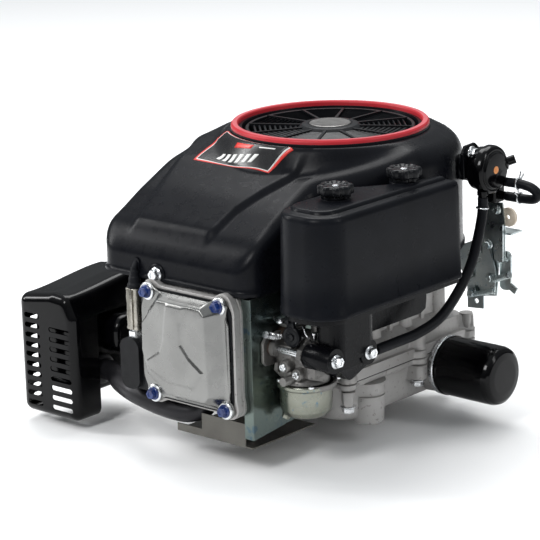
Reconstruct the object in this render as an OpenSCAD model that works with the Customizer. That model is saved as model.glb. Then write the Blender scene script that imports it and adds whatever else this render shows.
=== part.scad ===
// Small vertical-shaft gasoline engine with overhead valves.
// +Z runs up the crankshaft axis and z = 0 is the sump's mounting face. The cylinder points along -Y,
// the carburettor, air cleaner and oil filter are on the +X side, and the muffler is at the -X front.

/* [Block] */
// Diameter of the circle through the four mounting holes
mount_pcd = 254; // [250:1:258]
// Diameter of a mounting hole
mount_hole_d = 9.5; // [8:0.1:10.5]
// Height of the sump, up to the parting face
sump_h = 57.2; // [56.6:0.1:57.4]
// Half width of the sump, along X
sump_hx = 118; // [117:1:120]
// Half depth of the sump, along Y
sump_hy = 122; // [121:1:124]
// Height of the crankcase's top wall
case_top = 186; // [184:1:188]

/* [Cylinder and crank] */
// Bore of the cylinder
bore_d = 92; // [88:0.5:93]
// Stroke of the piston
stroke = 68; // [64:1:68]
// Length of the connecting rod, centre to centre
rod_l = 116; // [114:1:118]
// Height of the cylinder's axis above the mounting face
cyl_z = 113; // [112:1:114]
// Diameter of the power take-off shaft
pto_d = 25.4; // [22:0.1:26]
// Length of the power take-off below the mounting face
pto_l = 24; // [20:1:30]
// Diameter of the main journals
journal_d = 30; // [28:0.5:31]

/* [Blower housing] */
// Radius of the round part of the housing
housing_r = 154; // [152:1:156]
// Height of the housing's lower edge
housing_z = 180; // [179:1:182]
// Wall of the housing
wall = 3; // [2.5:0.1:3.5]
// Outer radius of the coloured trim ring
ring_r = 116; // [112:1:118]
// Height of the trim ring's top face
ring_z = 330; // [328:1:332]

/* [Air cleaner] */
// Height of the cover's lower edge
cleaner_z = 172; // [170:1:173]
// Height of the cover's top face
cleaner_top = 290; // [285:1:292]
// Diameter of the knobs
knob_d = 37; // [34:1:38]

/* [Oil filter] */
// Diameter of the filter can
filter_d = 72; // [66:1:73]
// Length of the filter can
filter_l = 80; // [70:1:84]

/* [Muffler] */
// Width of the guard
guard_w = 94; // [90:1:96]
// Height of the guard
guard_h = 150; // [146:1:151]

/* [Hidden] */
$fn = 64;

// Fits and small gaps
run = 0.05;             // radial clearance of a running fit
gap = 0.3;              // air between pieces that move past each other
e = 1;                  // how far a cutter runs past the face it cuts

// Sump and crankcase
case_z = sump_h + 0.8;
flange_t = 12;
case_hx = 96;
case_y0 = -92;
case_y1 = 104;
case_wall = 10;
gear_pit = [106, 108];
case_bolts = [[115, 14], [112, -112], [10, -118], [-112, -112], [-115, -14], [-112, 112], [-10, 118], [112, 112]];
mount_a = [-33, 57, 147, 237];
bearing_r = 22;
bearing_h = 24;
bearing_z = [22, 176];

// Cylinder, piston and cylinder head, as distances along Y
crank_r = stroke / 2;
bore_r = bore_d / 2;
pin_y = -crank_r - rod_l;
crown_y = pin_y - 28;
skirt_y = pin_y + 24;
deck_y = -179;
head_y = deck_y - 1.2;
box_y = -212;
rocker_y = -246;
cover_y = -256;
head_hx = 68;
head_hz = 64;
barrel_r = 54;
valve_z = [22, -22];    // intake, exhaust, from the cylinder's axis
rod_x = -56;            // pushrods
pivot_x = -28;          // rocker pivots
cover_bolts = [[-54, 60], [54, 60], [60, -59], [-48, -59]];
plug_at = [-84, -250];

// Crankshaft, counterweights and camshaft
web_r = 50;
web_z = [78, 128];
web_t = 20;
pin_r = 15;
cam_at = [-56, 38];
cam_c = norm(cam_at);
crank_teeth = 24;
cam_teeth = 48;
gear_m = 2 * cam_c / (crank_teeth + cam_teeth);
gear_z = 64;
gear_t = 12;
lobe_r = 11;
lobe_lift = 6;

// Flywheel, screen and starter
fly_z = 228;
fly_r = 106;
gear_ring_r = 118;
starter_r = 132.5;
starter_z = [88, 177];
opening_r = 104;

// Housing: the side view of its snout, as (y, z), and its plan
snout_x = [-147, 85];
snout_y = -245;
snout_side = [[snout_y, housing_z], [snout_y, 212], [-229, 242], [-178, 272], [-126, 298], [-73, 311], [0, 316],
    [0, housing_z]];
shoulder = 25;
collar_z = 322;
collar_r = 126;
front_bolt = [-53, 189];

// Air cleaner: plan of the cover, and the two studs
cleaner_x = [110, 198];
cleaner_y = [-245, -5];
cleaner_clear_r = 160;
cleaner_corner = 36;
knob_at = [[150, -172], [161, -66]];
stud_r = 4;

// Carburettor: its throat runs along X
throat = [-182, 118];   // y, z
throat_r = 14;
carb_x = [90, 140];
carb_stud_dy = 29;
throttle_x = 102;
choke_x = 128;
bowl_x = 114;
bowl_r = 29;
bowl_z = [44, 74];
elbow_x = [140.5, 178];

// Oil filter
filter_at = [62, 37];   // y, z
filter_x = 126;

pump_x = 150;

// Muffler
guard_x = -278;
guard_y = -254;
guard_z = -14;
guard_d = 40;            // depth of its side walls
guard_l = 132;           // depth of its roof

// Routes of the hoses and pipes
fuel_route = [[180, 55, 250], [180, 54, 232], [181, 44, 205], [181, 30, 176], [181, 4, 148], [180, -28, 126],
    [174, -60, 115], [168, -90, 111], [166, -127, 110]];
pump_route = [[190, 92, 262], [204, 93, 262], [219, 95, 259], [227, 97, 252], [221, 99, 245], [206, 100, 243],
    [181, 100, 243]];
lead_route = [[-84, -250, 196], [-84, -247, 205], [-86, -238, 214], [-92, -222, 220], [-100, -196, 224],
    [-106, -150, 226], [-112, -100, 226], [-118, -62, 226]];
exhaust_route = [[-4, -222, 41], [-10, -226, 33], [-28, -235, 29], [-60, -240, 32], [-102, -238, 38],
    [-140, -222, 39], [-165, -206, 40], [-183, -200, 40], [-196, -200, 40]];
exhaust_studs = [[-36, -213], [22, -224]];
fill_foot = [-60, 133, 30];
fill_top = [-72, 160, 200];
fill_axis = fill_top - fill_foot;

// ---------- shared shapes ----------

module to_x() { rotate([0, 90, 0]) children(); }        // +Z becomes +X
module to_y() { rotate([-90, 0, 0]) children(); }       // +Z becomes +Y

// A round bar along Y from y0 to y1, with y0 < y1
module bar_y(x, z, r, y0, y1) { translate([x, y0, z]) to_y() cylinder(r = r, h = y1 - y0); }

// A round bar along X from x0 to x1, with x0 < x1
module bar_x(y, z, r, x0, x1) { translate([x0, y, z]) to_x() cylinder(r = r, h = x1 - x0); }

// A round bar along Z
module bar_z(x, y, r, z0, z1) { translate([x, y, z0]) cylinder(r = r, h = z1 - z0); }

// A block between two corners
module block(a, b) { translate(a) cube(b - a); }

// A rectangle with round corners between (x0, y0) and (x1, y1)
module round_rect(x0, x1, y0, y1, r) {
    translate([x0 + r, y0]) square([x1 - x0 - 2 * r, y1 - y0]);
    translate([x0, y0 + r]) square([x1 - x0, y1 - y0 - 2 * r]);
    for (x = [x0 + r, x1 - r], y = [y0 + r, y1 - r]) translate([x, y]) circle(r = r);
}

module slab(x0, x1, y0, y1, r, z0, z1) {
    translate([0, 0, z0]) linear_extrude(z1 - z0) round_rect(x0, x1, y0, y1, r);
}

// The same, standing: x across, z up, from y0 to y1
module slab_y(x0, x1, z0, z1, r, y0, y1) {
    translate([0, y1, 0]) rotate([90, 0, 0]) linear_extrude(y1 - y0) round_rect(x0, x1, z0, z1, r);
}

// The same, facing X: y across, z up, from x0 to x1
module slab_x(y0, y1, z0, z1, r, x0, x1) {
    translate([x0, 0, 0]) rotate([90, 0, 90]) linear_extrude(x1 - x0) round_rect(y0, y1, z0, z1, r);
}

// A flange bolt: washer face at z = 0, head up, shank down
module flange_bolt(shank_r, shank_l, head_r, head_h) {
    cylinder(r = head_r * 1.3, h = head_h * 0.3);
    translate([0, 0, head_h * 0.3]) cylinder(r = head_r, h = head_h * 0.7, $fn = 6);
    translate([0, 0, -shank_l]) cylinder(r = shank_r, h = shank_l);
}

function unit(v) = v / norm(v);
function heading(p, i) = unit(p[min(i + 1, len(p) - 1)] - p[max(i - 1, 0)]);

// A point on the smooth curve through a, b, c, d, a fraction t of the way from b to c
function on_curve(a, b, c, d, t) =
    0.5 * (2 * b + (c - a) * t + (2 * a - 5 * b + 4 * c - d) * t * t + (3 * b - a - 3 * c + d) * t * t * t);
function smooth(p, steps) = concat(
    [for (i = [0 : len(p) - 2], s = [0 : steps - 1])
        on_curve(p[max(i - 1, 0)], p[i], p[i + 1], p[min(i + 2, len(p) - 1)], s / steps)],
    [p[len(p) - 1]]);

// A round tube swept along a path; side is a direction that the path never runs along
module swept(path, r, sides, side) {
    n = len(path);
    points = [for (i = [0 : n - 1])
        let (t = heading(path, i), a = unit(cross(side, t)), b = cross(t, a))
        for (k = [0 : sides - 1]) path[i] + r * (cos(360 * k / sides) * a + sin(360 * k / sides) * b)];
    faces = concat(
        [[for (k = [0 : sides - 1]) k]],
        [[for (k = [sides - 1 : -1 : 0]) (n - 1) * sides + k]],
        [for (i = [0 : n - 2], k = [0 : sides - 1])
            [i * sides + k, (i + 1) * sides + k, (i + 1) * sides + (k + 1) % sides]],
        [for (i = [0 : n - 2], k = [0 : sides - 1])
            [i * sides + k, (i + 1) * sides + (k + 1) % sides, i * sides + (k + 1) % sides]]);
    polyhedron(points, faces, convexity = 6);
}

// The same with a wall: a pipe that is open at both ends, its radii outer and inner
module swept_pipe(path, radii, sides, side) {
    n = len(path);
    points = [for (r = radii, i = [0 : n - 1])
        let (t = heading(path, i), a = unit(cross(side, t)), b = cross(t, a))
        for (k = [0 : sides - 1]) path[i] + r * (cos(360 * k / sides) * a + sin(360 * k / sides) * b)];
    inner = n * sides;
    last = (n - 1) * sides;
    faces = concat(
        [for (i = [0 : n - 2], k = [0 : sides - 1], j = [(k + 1) % sides])
            each [[i * sides + k, (i + 1) * sides + k, (i + 1) * sides + j],
                [i * sides + k, (i + 1) * sides + j, i * sides + j],
                [inner + i * sides + k, inner + (i + 1) * sides + j, inner + (i + 1) * sides + k],
                [inner + i * sides + k, inner + i * sides + j, inner + (i + 1) * sides + j]]],
        [for (k = [0 : sides - 1], j = [(k + 1) % sides])
            each [[k, j, inner + j], [k, inner + j, inner + k],
                [last + k, inner + last + j, last + j], [last + k, inner + last + k, inner + last + j]]]);
    polyhedron(points, faces, convexity = 8);
}

// A plain spur gear outline, with a tooth on +X when turn is 0
module gear_2d(teeth, m, turn) {
    pitch_a = 360 / teeth;
    root = m * teeth / 2 - 1.15 * m;
    tip = m * teeth / 2 + 0.8 * m;
    polygon([for (i = [0 : teeth - 1], c = [[-0.29, root], [-0.11, tip], [0.11, tip], [0.29, root]])
        c[1] * [cos((i + c[0]) * pitch_a + turn), sin((i + c[0]) * pitch_a + turn)]]);
}

// ---------- block ----------

module sump_plan(d) { round_rect(-sump_hx + d, sump_hx - d, -sump_hy + d, sump_hy - d, 22 - d / 2); }

module at_mounts() {
    for (a = mount_a) translate([mount_pcd / 2 * cos(a), mount_pcd / 2 * sin(a), 0]) children();
}

module sump() {
    color("silver") difference() {
        union() {
            difference() {
                translate([0, 0, 4]) linear_extrude(sump_h - 4) sump_plan(0);
                translate([0, 0, 16]) linear_extrude(sump_h) sump_plan(18);
                for (p = case_bolts) bar_z(p.x, p.y, 11, 0, 30);
            }
            for (p = case_bolts) bar_z(p.x, p.y, 8, 30, sump_h);
            at_mounts() cylinder(r = 18, h = 34);
            cylinder(r = 38, h = 17);
            bar_z(0, 0, 30, 4, 48);
            bar_z(cam_at.x, cam_at.y, 14, 10, 50);
            bar_x(filter_at[0], filter_at[1], 33, filter_x - 7.4, filter_x);
            intersection() {
                bar_x(filter_at[0], filter_at[1], 33, 100, filter_x - 7);
                block([90, 0, 0], [140, 120, sump_h]);
            }
            bar_x(filter_at[0], filter_at[1], 8, filter_x - e, filter_x + 14);
            bar_y(fill_foot.x, fill_foot.z, 15, 105, fill_foot.y + 12);
        }
        bar_z(0, 0, journal_d / 2 + 1, -e, 60);
        bar_z(0, 0, bearing_r, bearing_z[0], 60);
        bar_z(cam_at.x, cam_at.y, 8 + run, 24, 60);
        at_mounts() translate([0, 0, -e]) cylinder(d = mount_hole_d, h = 26);
        for (p = case_bolts) bar_z(p.x, p.y, 4.05, 20, 70);
        bar_x(filter_at[0], filter_at[1], 4, 92, filter_x + 20);
        translate(fill_foot) rotate([0, acos(fill_axis.z / norm(fill_axis)), atan2(fill_axis.y, fill_axis.x)])
            cylinder(r = 11, h = 40);
    }
}

module case_plan(d) { round_rect(-case_hx + d, case_hx - d, case_y0 + d, case_y1 - d, 20 - d / 2); }

module crankcase() {
    fins = 5;
    color("silver") difference() {
        union() {
            translate([0, 0, case_z]) linear_extrude(flange_t) sump_plan(0);
            translate([0, 0, case_z]) linear_extrude(30) round_rect(-112, 112, -100, 112, 20);
            translate([0, 0, case_z]) linear_extrude(case_top - case_z) case_plan(0);
            for (p = case_bolts) bar_z(p.x, p.y, 8, case_z, 88);
            bar_z(0, 0, 34, 160, case_top + 18);
            bar_z(cam_at.x, cam_at.y, 14, 160, case_top);
            bar_y(0, cyl_z, barrel_r, deck_y, -80);
            slab_y(-68, -48, cyl_z - 32, cyl_z + 32, 6, deck_y, -80);
            slab_y(-66, 66, cyl_z - 52, cyl_z + 60, 12, deck_y, deck_y + 9);
            for (i = [1 : fins]) slab_y(-76, 76, cyl_z - 52, cyl_z + 64, 14, deck_y + 6 + 10 * i, deck_y + 9.2 + 10 * i);
            block([90, 86, 150], [112, 100, 178]);
        }
        translate([0, 0, case_z - e]) linear_extrude(22) round_rect(-gear_pit.x, gear_pit.x, -84, gear_pit.y, 20);
        translate([0, 0, case_z - e]) linear_extrude(160 - case_z) case_plan(case_wall);
        translate([0, 0, 158]) linear_extrude(14) difference() {
            case_plan(case_wall);
            circle(r = 34);
            translate(cam_at) circle(r = 14);
        }
        bar_y(0, cyl_z, bore_r, deck_y - e, skirt_y + 2 * crank_r);
        bar_z(0, 0, journal_d / 2 + 1, 150, 230);
        bar_z(0, 0, bearing_r, bearing_z[1], 230);
        bar_z(cam_at.x, cam_at.y, 7 + run, 150, 174);
        for (z = valve_z) bar_y(rod_x, cyl_z + z, 4.8, deck_y - e, -70);
        for (p = case_bolts) bar_z(p.x, p.y, 4.05, 50, 65);
    }
}

module sump_bolts() {
    color("gainsboro") for (p = case_bolts) translate([p.x, p.y, 30]) mirror([0, 0, 1]) flange_bolt(4, 34, 7, 8);
}

module gasket_set() {
    color("dimgray") {
        translate([0, 0, sump_h]) linear_extrude(case_z - sump_h) difference() {
            sump_plan(0);
            round_rect(-gear_pit.x, gear_pit.x, -84, gear_pit.y, 20);
            for (p = case_bolts) translate(p) circle(r = 4.2);
        }
        difference() {
            slab_y(-66, 66, cyl_z - 52, cyl_z + 60, 12, head_y, deck_y);
            bar_y(0, cyl_z, bore_r + 1, head_y - e, deck_y + e);
            for (z = valve_z) bar_y(rod_x, cyl_z + z, 4.8, head_y - e, deck_y + e);
        }
        difference() {
            slab_y(-head_hx, head_hx, cyl_z - head_hz, cyl_z + head_hz, 16, cover_y - 1, cover_y);
            rocker_hollow(cover_y - 2 * e, cover_y + e);
            for (p = cover_bolts) bar_y(p[0], cyl_z + p[1], 3.3, cover_y - 3, cover_y + e);
        }
    }
}

module main_bearings() {
    color("gray") for (z = bearing_z) difference() {
        bar_z(0, 0, bearing_r, z, z + bearing_h);
        bar_z(0, 0, journal_d / 2 + run, z - e, z + bearing_h + e);
    }
}

// ---------- cylinder head ----------

module rocker_hollow(y0, y1) {
    difference() {
        slab_y(-62, 60, cyl_z - 56, cyl_z + 56, 10, y0, y1);
        for (p = cover_bolts) bar_y(p[0], cyl_z + p[1], 8, y0 - e, y1 + e);
    }
}

module cylinder_head() {
    color("#222428") difference() {
        union() {
            slab_y(-head_hx, head_hx, cyl_z - head_hz, cyl_z + head_hz, 16, cover_y, head_y);
            slab_y(-100, -50, 52, 112, 12, cover_y, -226);
            slab_y(-100, -71, 52, 112, 12, -262, -226);
            for (i = [0 : 2]) slab_y(-80, 76, cyl_z - head_hz, cyl_z + head_hz, 10, -212 + 10 * i, -208.5 + 10 * i);
            slab_y(-64, -42, 170, 199, 3, -241.8, -224);
        }
        rocker_hollow(cover_y - e, box_y);
        bar_y(0, cyl_z, 40, head_y - 12, head_y + e);
        for (z = valve_z) {
            bar_y(0, cyl_z + z, 3.3 + run, box_y - e, -180);
            bar_y(0, cyl_z + z, 14, -204, -191);
            bar_y(rod_x, cyl_z + z, 4.8, box_y - e, head_y + e);
        }
        bar_x(-197, 127, 11, 0, 100);
        bar_z(0, -197, 10, 30, cyl_z - 22);
        for (p = cover_bolts) bar_y(p[0], cyl_z + p[1], 3.05, cover_y - e, -234);
        bar_z(plug_at.x, plug_at.y, 7 + run, 88, 120);
        bar_y(front_bolt[0], front_bolt[1], 3.05, -250, -226);
    }
    color("#222428") {
        block([pivot_x - 6, -252, cyl_z - 6], [pivot_x + 6, box_y, cyl_z + 6]);
        bar_z(pivot_x, rocker_y, 4, cyl_z - 30, cyl_z + 30);
    }
}

module valve_cover() {
    plate_y = cover_y - 1;
    color("lightgray") difference() {
        union() {
            slab_y(-head_hx + 2, head_hx - 2, cyl_z - head_hz + 2, cyl_z + head_hz - 2, 18, plate_y - 5, plate_y);
            for (p = cover_bolts) bar_y(p[0], cyl_z + p[1], 10, plate_y - 7, plate_y);
            hull() {
                slab_y(-64, 64, cyl_z - 57, cyl_z + 57, 26, plate_y - 6, plate_y - 4);
                slab_y(-52, 52, cyl_z - 46, cyl_z + 46, 24, plate_y - 28, plate_y - 26);
            }
        }
        hull() {
            slab_y(-61, 59, cyl_z - 50, cyl_z + 54, 25, plate_y - 5, plate_y + e);
            slab_y(-48, 48, cyl_z - 43, cyl_z + 43, 21, plate_y - 25, plate_y - 23);
        }
        for (p = cover_bolts) {
            bar_y(p[0], cyl_z + p[1], 3.3, plate_y - 20, plate_y + e);
            bar_y(p[0], cyl_z + p[1], 8.1, plate_y - 20, plate_y - 7);
        }
    }
    // Sleeves that close the hollow around the bolts
    color("lightgray") for (p = cover_bolts) difference() {
        bar_y(p[0], cyl_z + p[1], 7, plate_y - 7, plate_y);
        bar_y(p[0], cyl_z + p[1], 3.3, plate_y - 20, plate_y + e);
    }
}

module valve_cover_bolts() {
    color("royalblue") for (p = cover_bolts) translate([p[0], cover_y - 8, cyl_z + p[1]])
        rotate([90, 0, 0]) flange_bolt(3, 26, 6, 8);
}

// ---------- blower housing ----------

// The housing's outer shape, drawn in by d
module housing_form(d) {
    intersection() {
        translate([snout_x[0] + d, 0, -d]) rotate([90, 0, 90])
            linear_extrude(snout_x[1] - snout_x[0] - 2 * d) polygon(snout_side);
        translate([0, 0, housing_z - 20]) linear_extrude(200)
            round_rect(snout_x[0] + d, snout_x[1] - d, snout_y + d, 160, 24);
    }
    translate([0, 0, housing_z - d]) rotate_extrude()
        polygon([[0, 0], [housing_r - d, 0], [housing_r - d, 292 - housing_z],
            [housing_r - d - shoulder, 317 - housing_z], [0, 317 - housing_z]]);
    translate([0, 0, 300]) cylinder(r1 = collar_r + 8 - d, r2 = collar_r - 4 - d, h = collar_z - 300 - d);
}

module blower_housing() {
    color("#1d1f22") difference() {
        union() {
            housing_form(0);
            bar_x(70, 278, 15, 120, pump_x - gap);
        }
        difference() {
            housing_form(wall);
            bar_y(front_bolt[0], front_bolt[1], 1, -300, -242);
        }
        translate([0, 0, 310]) cylinder(r = opening_r, h = 30);
        bar_y(front_bolt[0], front_bolt[1], 3.3, -250, -238);
        bar_z(plug_at.x, -247, 9, 170, 250);
        block([plug_at.x - 9, -256, 170], [plug_at.x + 9, -247, 200]);
        bar_x(70, 278, 4.05, 120, 150);
    }
}

module housing_bolts() {
    color("gainsboro") {
        translate([front_bolt[0], snout_y, front_bolt[1]]) rotate([90, 0, 0]) flange_bolt(3, 18, 6.5, 7);
    }
}

module ring_trim() {
    color("crimson") difference() {
        rotate_extrude() polygon([[ring_r - 13, ring_z - 3], [ring_r - 10, ring_z], [ring_r - 3, ring_z],
            [ring_r, ring_z - 3], [ring_r, collar_z], [opening_r - 1, collar_z]]);
        bar_z(0, 0, ring_r - 13, 300, 340);
    }
}

module side_shield() {
    color("#a8b29a") {
        difference() {
            translate([80.5, 0, 0]) rotate([90, 0, 90]) linear_extrude(1.5)
                polygon([[-240, 17], [-240, housing_z - gap], [-132, housing_z - gap], [-132, 60], [-158, 26]]);
            bar_x(throat[0], throat[1], 24, 70, 90);
        }
        block([head_hx + 0.5, -240, 17], [82, -238.5, 179]);
    }
}

module lower_shroud() {
    color("#8f918c") {
        block([2, -239, 6], [head_hx, -237.5, 34]);
        block([-36, -239, 6], [3, -237.5, 15]);
        block([-36, -239, 6], [79, -132, 7.5]);
    }
}

module left_baffle() {
    color("#8b98a3") translate([-104, 0, 0]) rotate([90, 0, 90]) linear_extrude(1.5)
        polygon([[-238, 172], [-238, 179], [-132, 179], [-132, 90], [-205, 90]]);
}

// ---------- ignition and starting ----------

module spark_plug() {
    color("gainsboro") {
        bar_z(plug_at.x, plug_at.y, 7, 90, 112);
        translate([plug_at.x, plug_at.y, 112]) cylinder(r = 9, h = 7, $fn = 6);
        bar_z(plug_at.x, plug_at.y, 5, 119, 160);
    }
}

module spark_plug_boot() {
    color("#77756e") difference() {
        bar_z(plug_at.x, plug_at.y, 9.5, 121, 170);
        bar_z(plug_at.x, plug_at.y, 5.02, 118, 160.2);
    }
    color("#141416") {
        translate([plug_at.x, plug_at.y, 170]) cylinder(r1 = 9.5, r2 = 5.5, h = 9);
        bar_z(plug_at.x, plug_at.y, 5, 179, 197);
        swept(smooth(lead_route, 3), 3.5, 8, [1, 0.2, 0.1]);
    }
}

module ignition_coil() {
    color("#26282b") {
        block([-136, -74, 212], [-112, -50, 240]);
        block([-130, -66, 190], [-122, -58, 212]);
        block([-130, -66, 186], [-90, -58, 192]);
    }
}

module starter_motor() {
    color("#202226") {
        bar_z(-starter_r, 0, 29, starter_z[0], starter_z[1]);
        bar_z(-starter_r, 0, 10, starter_z[1] - e, 196);
        bar_z(-starter_r, 0, 4, 190, 226);
        block([-112, -12, 120], [-case_hx, 12, 140]);
    }
}

module starter_pinion() {
    color("#b8b8bc") translate([-starter_r, 0, 200]) difference() {
        linear_extrude(12) gear_2d(10, 2.6, 0);
        translate([0, 0, -e]) cylinder(r = 4 + run, h = 20);
    }
}

// ---------- exhaust ----------

module exhaust_pipe() {
    top = cyl_z - head_hz;
    color("#2b2a2a") difference() {
        slab(-44, 30, -242, -206, 12, top - 8, top);
        bar_z(-4, -222, 11, 30, 60);
        for (p = exhaust_studs) bar_z(p.x, p.y, 4.05, 30, 60);
    }
    color("#2b2a2a") swept_pipe(smooth(exhaust_route, 2), [12.5, 10.5], 16, [0.3, 1, 0.2]);
}

module exhaust_nuts() {
    color("gainsboro") for (p = exhaust_studs) translate([p.x, p.y, cyl_z - head_hz - 8]) mirror([0, 0, 1])
        flange_bolt(4, 8, 6.5, 8);
}

module muffler_body() {
    color("#17181a") difference() {
        union() {
            slab_x(-240, -124, 12, 118, 26, -266, -196);
            slab_x(-200, -124, 58, 106, 20, -197, -166);
            bar_x(-200, 40, 16, -200, -190);
        }
        slab_x(-238, -126, 14, 116, 24, -264, -198);
        bar_x(-200, 40, 12.6, -210, -180);
        bar_x(-160, 88, 6, -180, -160);
    }
}

// The guard's outline seen from the front, drawn in by d: its roof falls away on the side of the engine
module guard_outline(d) {
    x1 = guard_x + guard_w - d;
    top = guard_z + guard_h - d;
    polygon([[guard_x + d, guard_z - d], [guard_x + d, top - 8], [guard_x + 10, top], [guard_x + 58, top + 6],
        [guard_x + 74, top + 4], [x1, top - 20], [x1, guard_z - d]]);
}

module muffler_guard() {
    slots = 10;
    x1 = guard_x + guard_w;
    y1 = guard_y + guard_l;
    color("#0c0d0f") difference() {
        translate([0, y1, 0]) rotate([90, 0, 0]) linear_extrude(guard_l) guard_outline(0);
        translate([0, y1 + e, 0]) rotate([90, 0, 0]) linear_extrude(guard_l - 2 + e) guard_outline(2);
        block([guard_x - e, guard_y + guard_d, guard_z - e], [x1 + e, y1 + e, guard_z + guard_h - 22]);
        for (i = [0 : slots - 1]) {
            z = guard_z + 12 + i * (guard_h - 30) / slots;
            block([guard_x - e, guard_y + 6, z], [guard_x + 6, guard_y + 30, z + 6]);
            block([guard_x + 10, guard_y - e, z], [guard_x + 34, guard_y + 4, z + 6]);
            block([guard_x + 50, guard_y - e, z], [guard_x + 84, guard_y + 4, z + 6]);
        }
    }
}

// ---------- intake ----------

module at_carb_studs(x) {
    for (s = [-1, 1]) translate([x, throat[0] + s * carb_stud_dy, throat[1] - s * 2]) to_x() children();
}

module carb_plate(x0, x1, r) {
    hull() at_carb_studs(x0) cylinder(r = r, h = x1 - x0, $fn = 32);
}

module intake_insulator() {
    color("#3c2f28") difference() {
        union() {
            bar_x(throat[0], throat[1], 21, 76.3, carb_x[0] - 0.2);
            carb_plate(83, carb_x[0] - 0.2, 9);
        }
        bar_x(throat[0], throat[1], throat_r, 60, 100);
        at_carb_studs(70) cylinder(r = 3.05, h = 40);
    }
}

module carburetor_body() {
    color("#9a9a98") difference() {
        union() {
            carb_plate(carb_x[0], carb_x[0] + 6, 10);
            carb_plate(carb_x[1] - 5, carb_x[1], 10);
            bar_x(throat[0], throat[1], 20, carb_x[0], carb_x[1]);
            bar_z(bowl_x, throat[0], 24, bowl_z[1], throat[1] - 6);
            bar_z(bowl_x, throat[0], bowl_r + 2, bowl_z[1], bowl_z[1] + 6);
            bar_z(throttle_x, throat[0], 7, throat[1], 148);
            bar_z(choke_x, throat[0], 7, throat[1], 153);
            bar_y(bowl_x, 88, 5, throat[0] - 44, throat[0]);
        }
        bar_x(throat[0], throat[1], throat_r, 80, 150);
        bar_z(throttle_x, throat[0], 3 + run, 96, 160);
        bar_z(choke_x, throat[0], 3 + run, 96, 160);
        at_carb_studs(70) cylinder(r = 3.3, h = 100);
        bar_z(bowl_x, throat[0], 3.05, 60, 90);
    }
}

module float_bowl() {
    color("#c8bf86") {
        difference() {
            union() {
                bar_z(bowl_x, throat[0], bowl_r, bowl_z[0] + 8, bowl_z[1]);
                translate([bowl_x, throat[0], bowl_z[0]]) cylinder(r1 = 12, r2 = bowl_r, h = 8);
            }
            bar_z(bowl_x, throat[0], bowl_r - 1.5, bowl_z[0] + 9, bowl_z[1] + e);
        }
        bar_z(bowl_x, throat[0], 3, bowl_z[0], 88);
        translate([bowl_x, throat[0], bowl_z[0] - 6]) cylinder(r = 6, h = 6, $fn = 6);
        translate([bowl_x - 16, throat[0] - 14, bowl_z[0] - 1]) rotate([35, -35, 0])
            cylinder(r = 4.5, h = 10, $fn = 6);
    }
}

module intake_studs() {
    color("gainsboro") {
        difference() {
            for (p = knob_at) bar_z(p.x, p.y, stud_r, cleaner_z - 2, cleaner_top + 16);
            bar_z(162, throat[0], throat_r, throat[1], 200);
        }
        at_carb_studs(carb_x[0] - 6) cylinder(r = 3, h = elbow_x[1] - carb_x[0] + 12);
        at_carb_studs(elbow_x[1]) {
            cylinder(r = 8, h = 1.8);
            translate([0, 0, 1.8]) cylinder(r = 6.2, h = 5, $fn = 6);
        }
    }
}

// A butterfly plate on its shaft, with the shaft's axis along Z
module butterfly(x, top) {
    bar_z(x, throat[0], 3, 97, top);
    bar_x(throat[0], throat[1], throat_r - gap, x - 0.7, x + 0.7);
}

module throttle_shaft() {
    color("#c9ccd0") {
        butterfly(throttle_x, 153);
        translate([throttle_x, throat[0], 0]) rotate(-15) {
            slab(-5, 5, -30, 5, 4.5, 149, 151.5);
            bar_z(0, -25, 2.5, 150, 153);
        }
    }
}

module choke_lever() {
    color("#141416") {
        butterfly(choke_x, 156);
        slab(choke_x - 6, choke_x + 6, throat[0] - 26, throat[0] + 7, 5.5, 154.5, 159);
        slab(choke_x - 5, choke_x + 5, throat[0] - 26, throat[0] - 18, 3, 154.5, 164.5);
    }
}

// Plan of the air cleaner, drawn in by d
module cleaner_plan(d) {
    difference() {
        round_rect(cleaner_x[0] + d, cleaner_x[1] - d, cleaner_y[0] + d, cleaner_y[1] - d, cleaner_corner - d);
        circle(r = cleaner_clear_r + d);
    }
    difference() {
        translate([cleaner_x[0] + d + 50, cleaner_y[1] - d - 40]) square([cleaner_x[1] - cleaner_x[0] - 2 * d - 50, 40]);
        circle(r = cleaner_clear_r + d);
    }
}

module air_cleaner_base() {
    color("#101113") difference() {
        union() {
            translate([0, 0, cleaner_z - 6]) linear_extrude(10) cleaner_plan(wall + 1.5);
            slab(elbow_x[0], elbow_x[1], -206, -138, 14, throat[1] - 4, cleaner_z);
            hull() {
                slab_x(-206, -138, throat[1] - 12, throat[1] + 10, 8, elbow_x[0], elbow_x[1] - 2);
                bar_x(-176, 100, 11, elbow_x[0], elbow_x[1] - 8);
            }
            at_carb_studs(elbow_x[0]) cylinder(r = 14, h = elbow_x[1] - elbow_x[0] - 0.2);
            bar_y(166, 110, 4, -140, -127);
        }
        bar_x(throat[0], throat[1], throat_r, 130, 162);
        translate([162, throat[0], throat[1]]) sphere(r = throat_r);
        bar_z(162, throat[0], throat_r, throat[1], 200);
        at_carb_studs(100) cylinder(r = 3.3, h = 100);
        for (p = knob_at) bar_z(p.x, p.y, stud_r + run, cleaner_z - 2, cleaner_z + 6);
    }
}

module filter_element() {
    color("#d9c9a0") difference() {
        slab(126, 186, -226, -22, 20, cleaner_z + 4, 262);
        bar_z(0, 0, cleaner_clear_r + 12, 100, 300);
        slab(140, 176, -212, -36, 12, cleaner_z + 14, 250);
        for (p = knob_at) bar_z(p.x, p.y, stud_r + 1, 100, 300);
        bar_z(162, throat[0], throat_r + 2, 160, cleaner_z + 20);
    }
}

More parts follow.
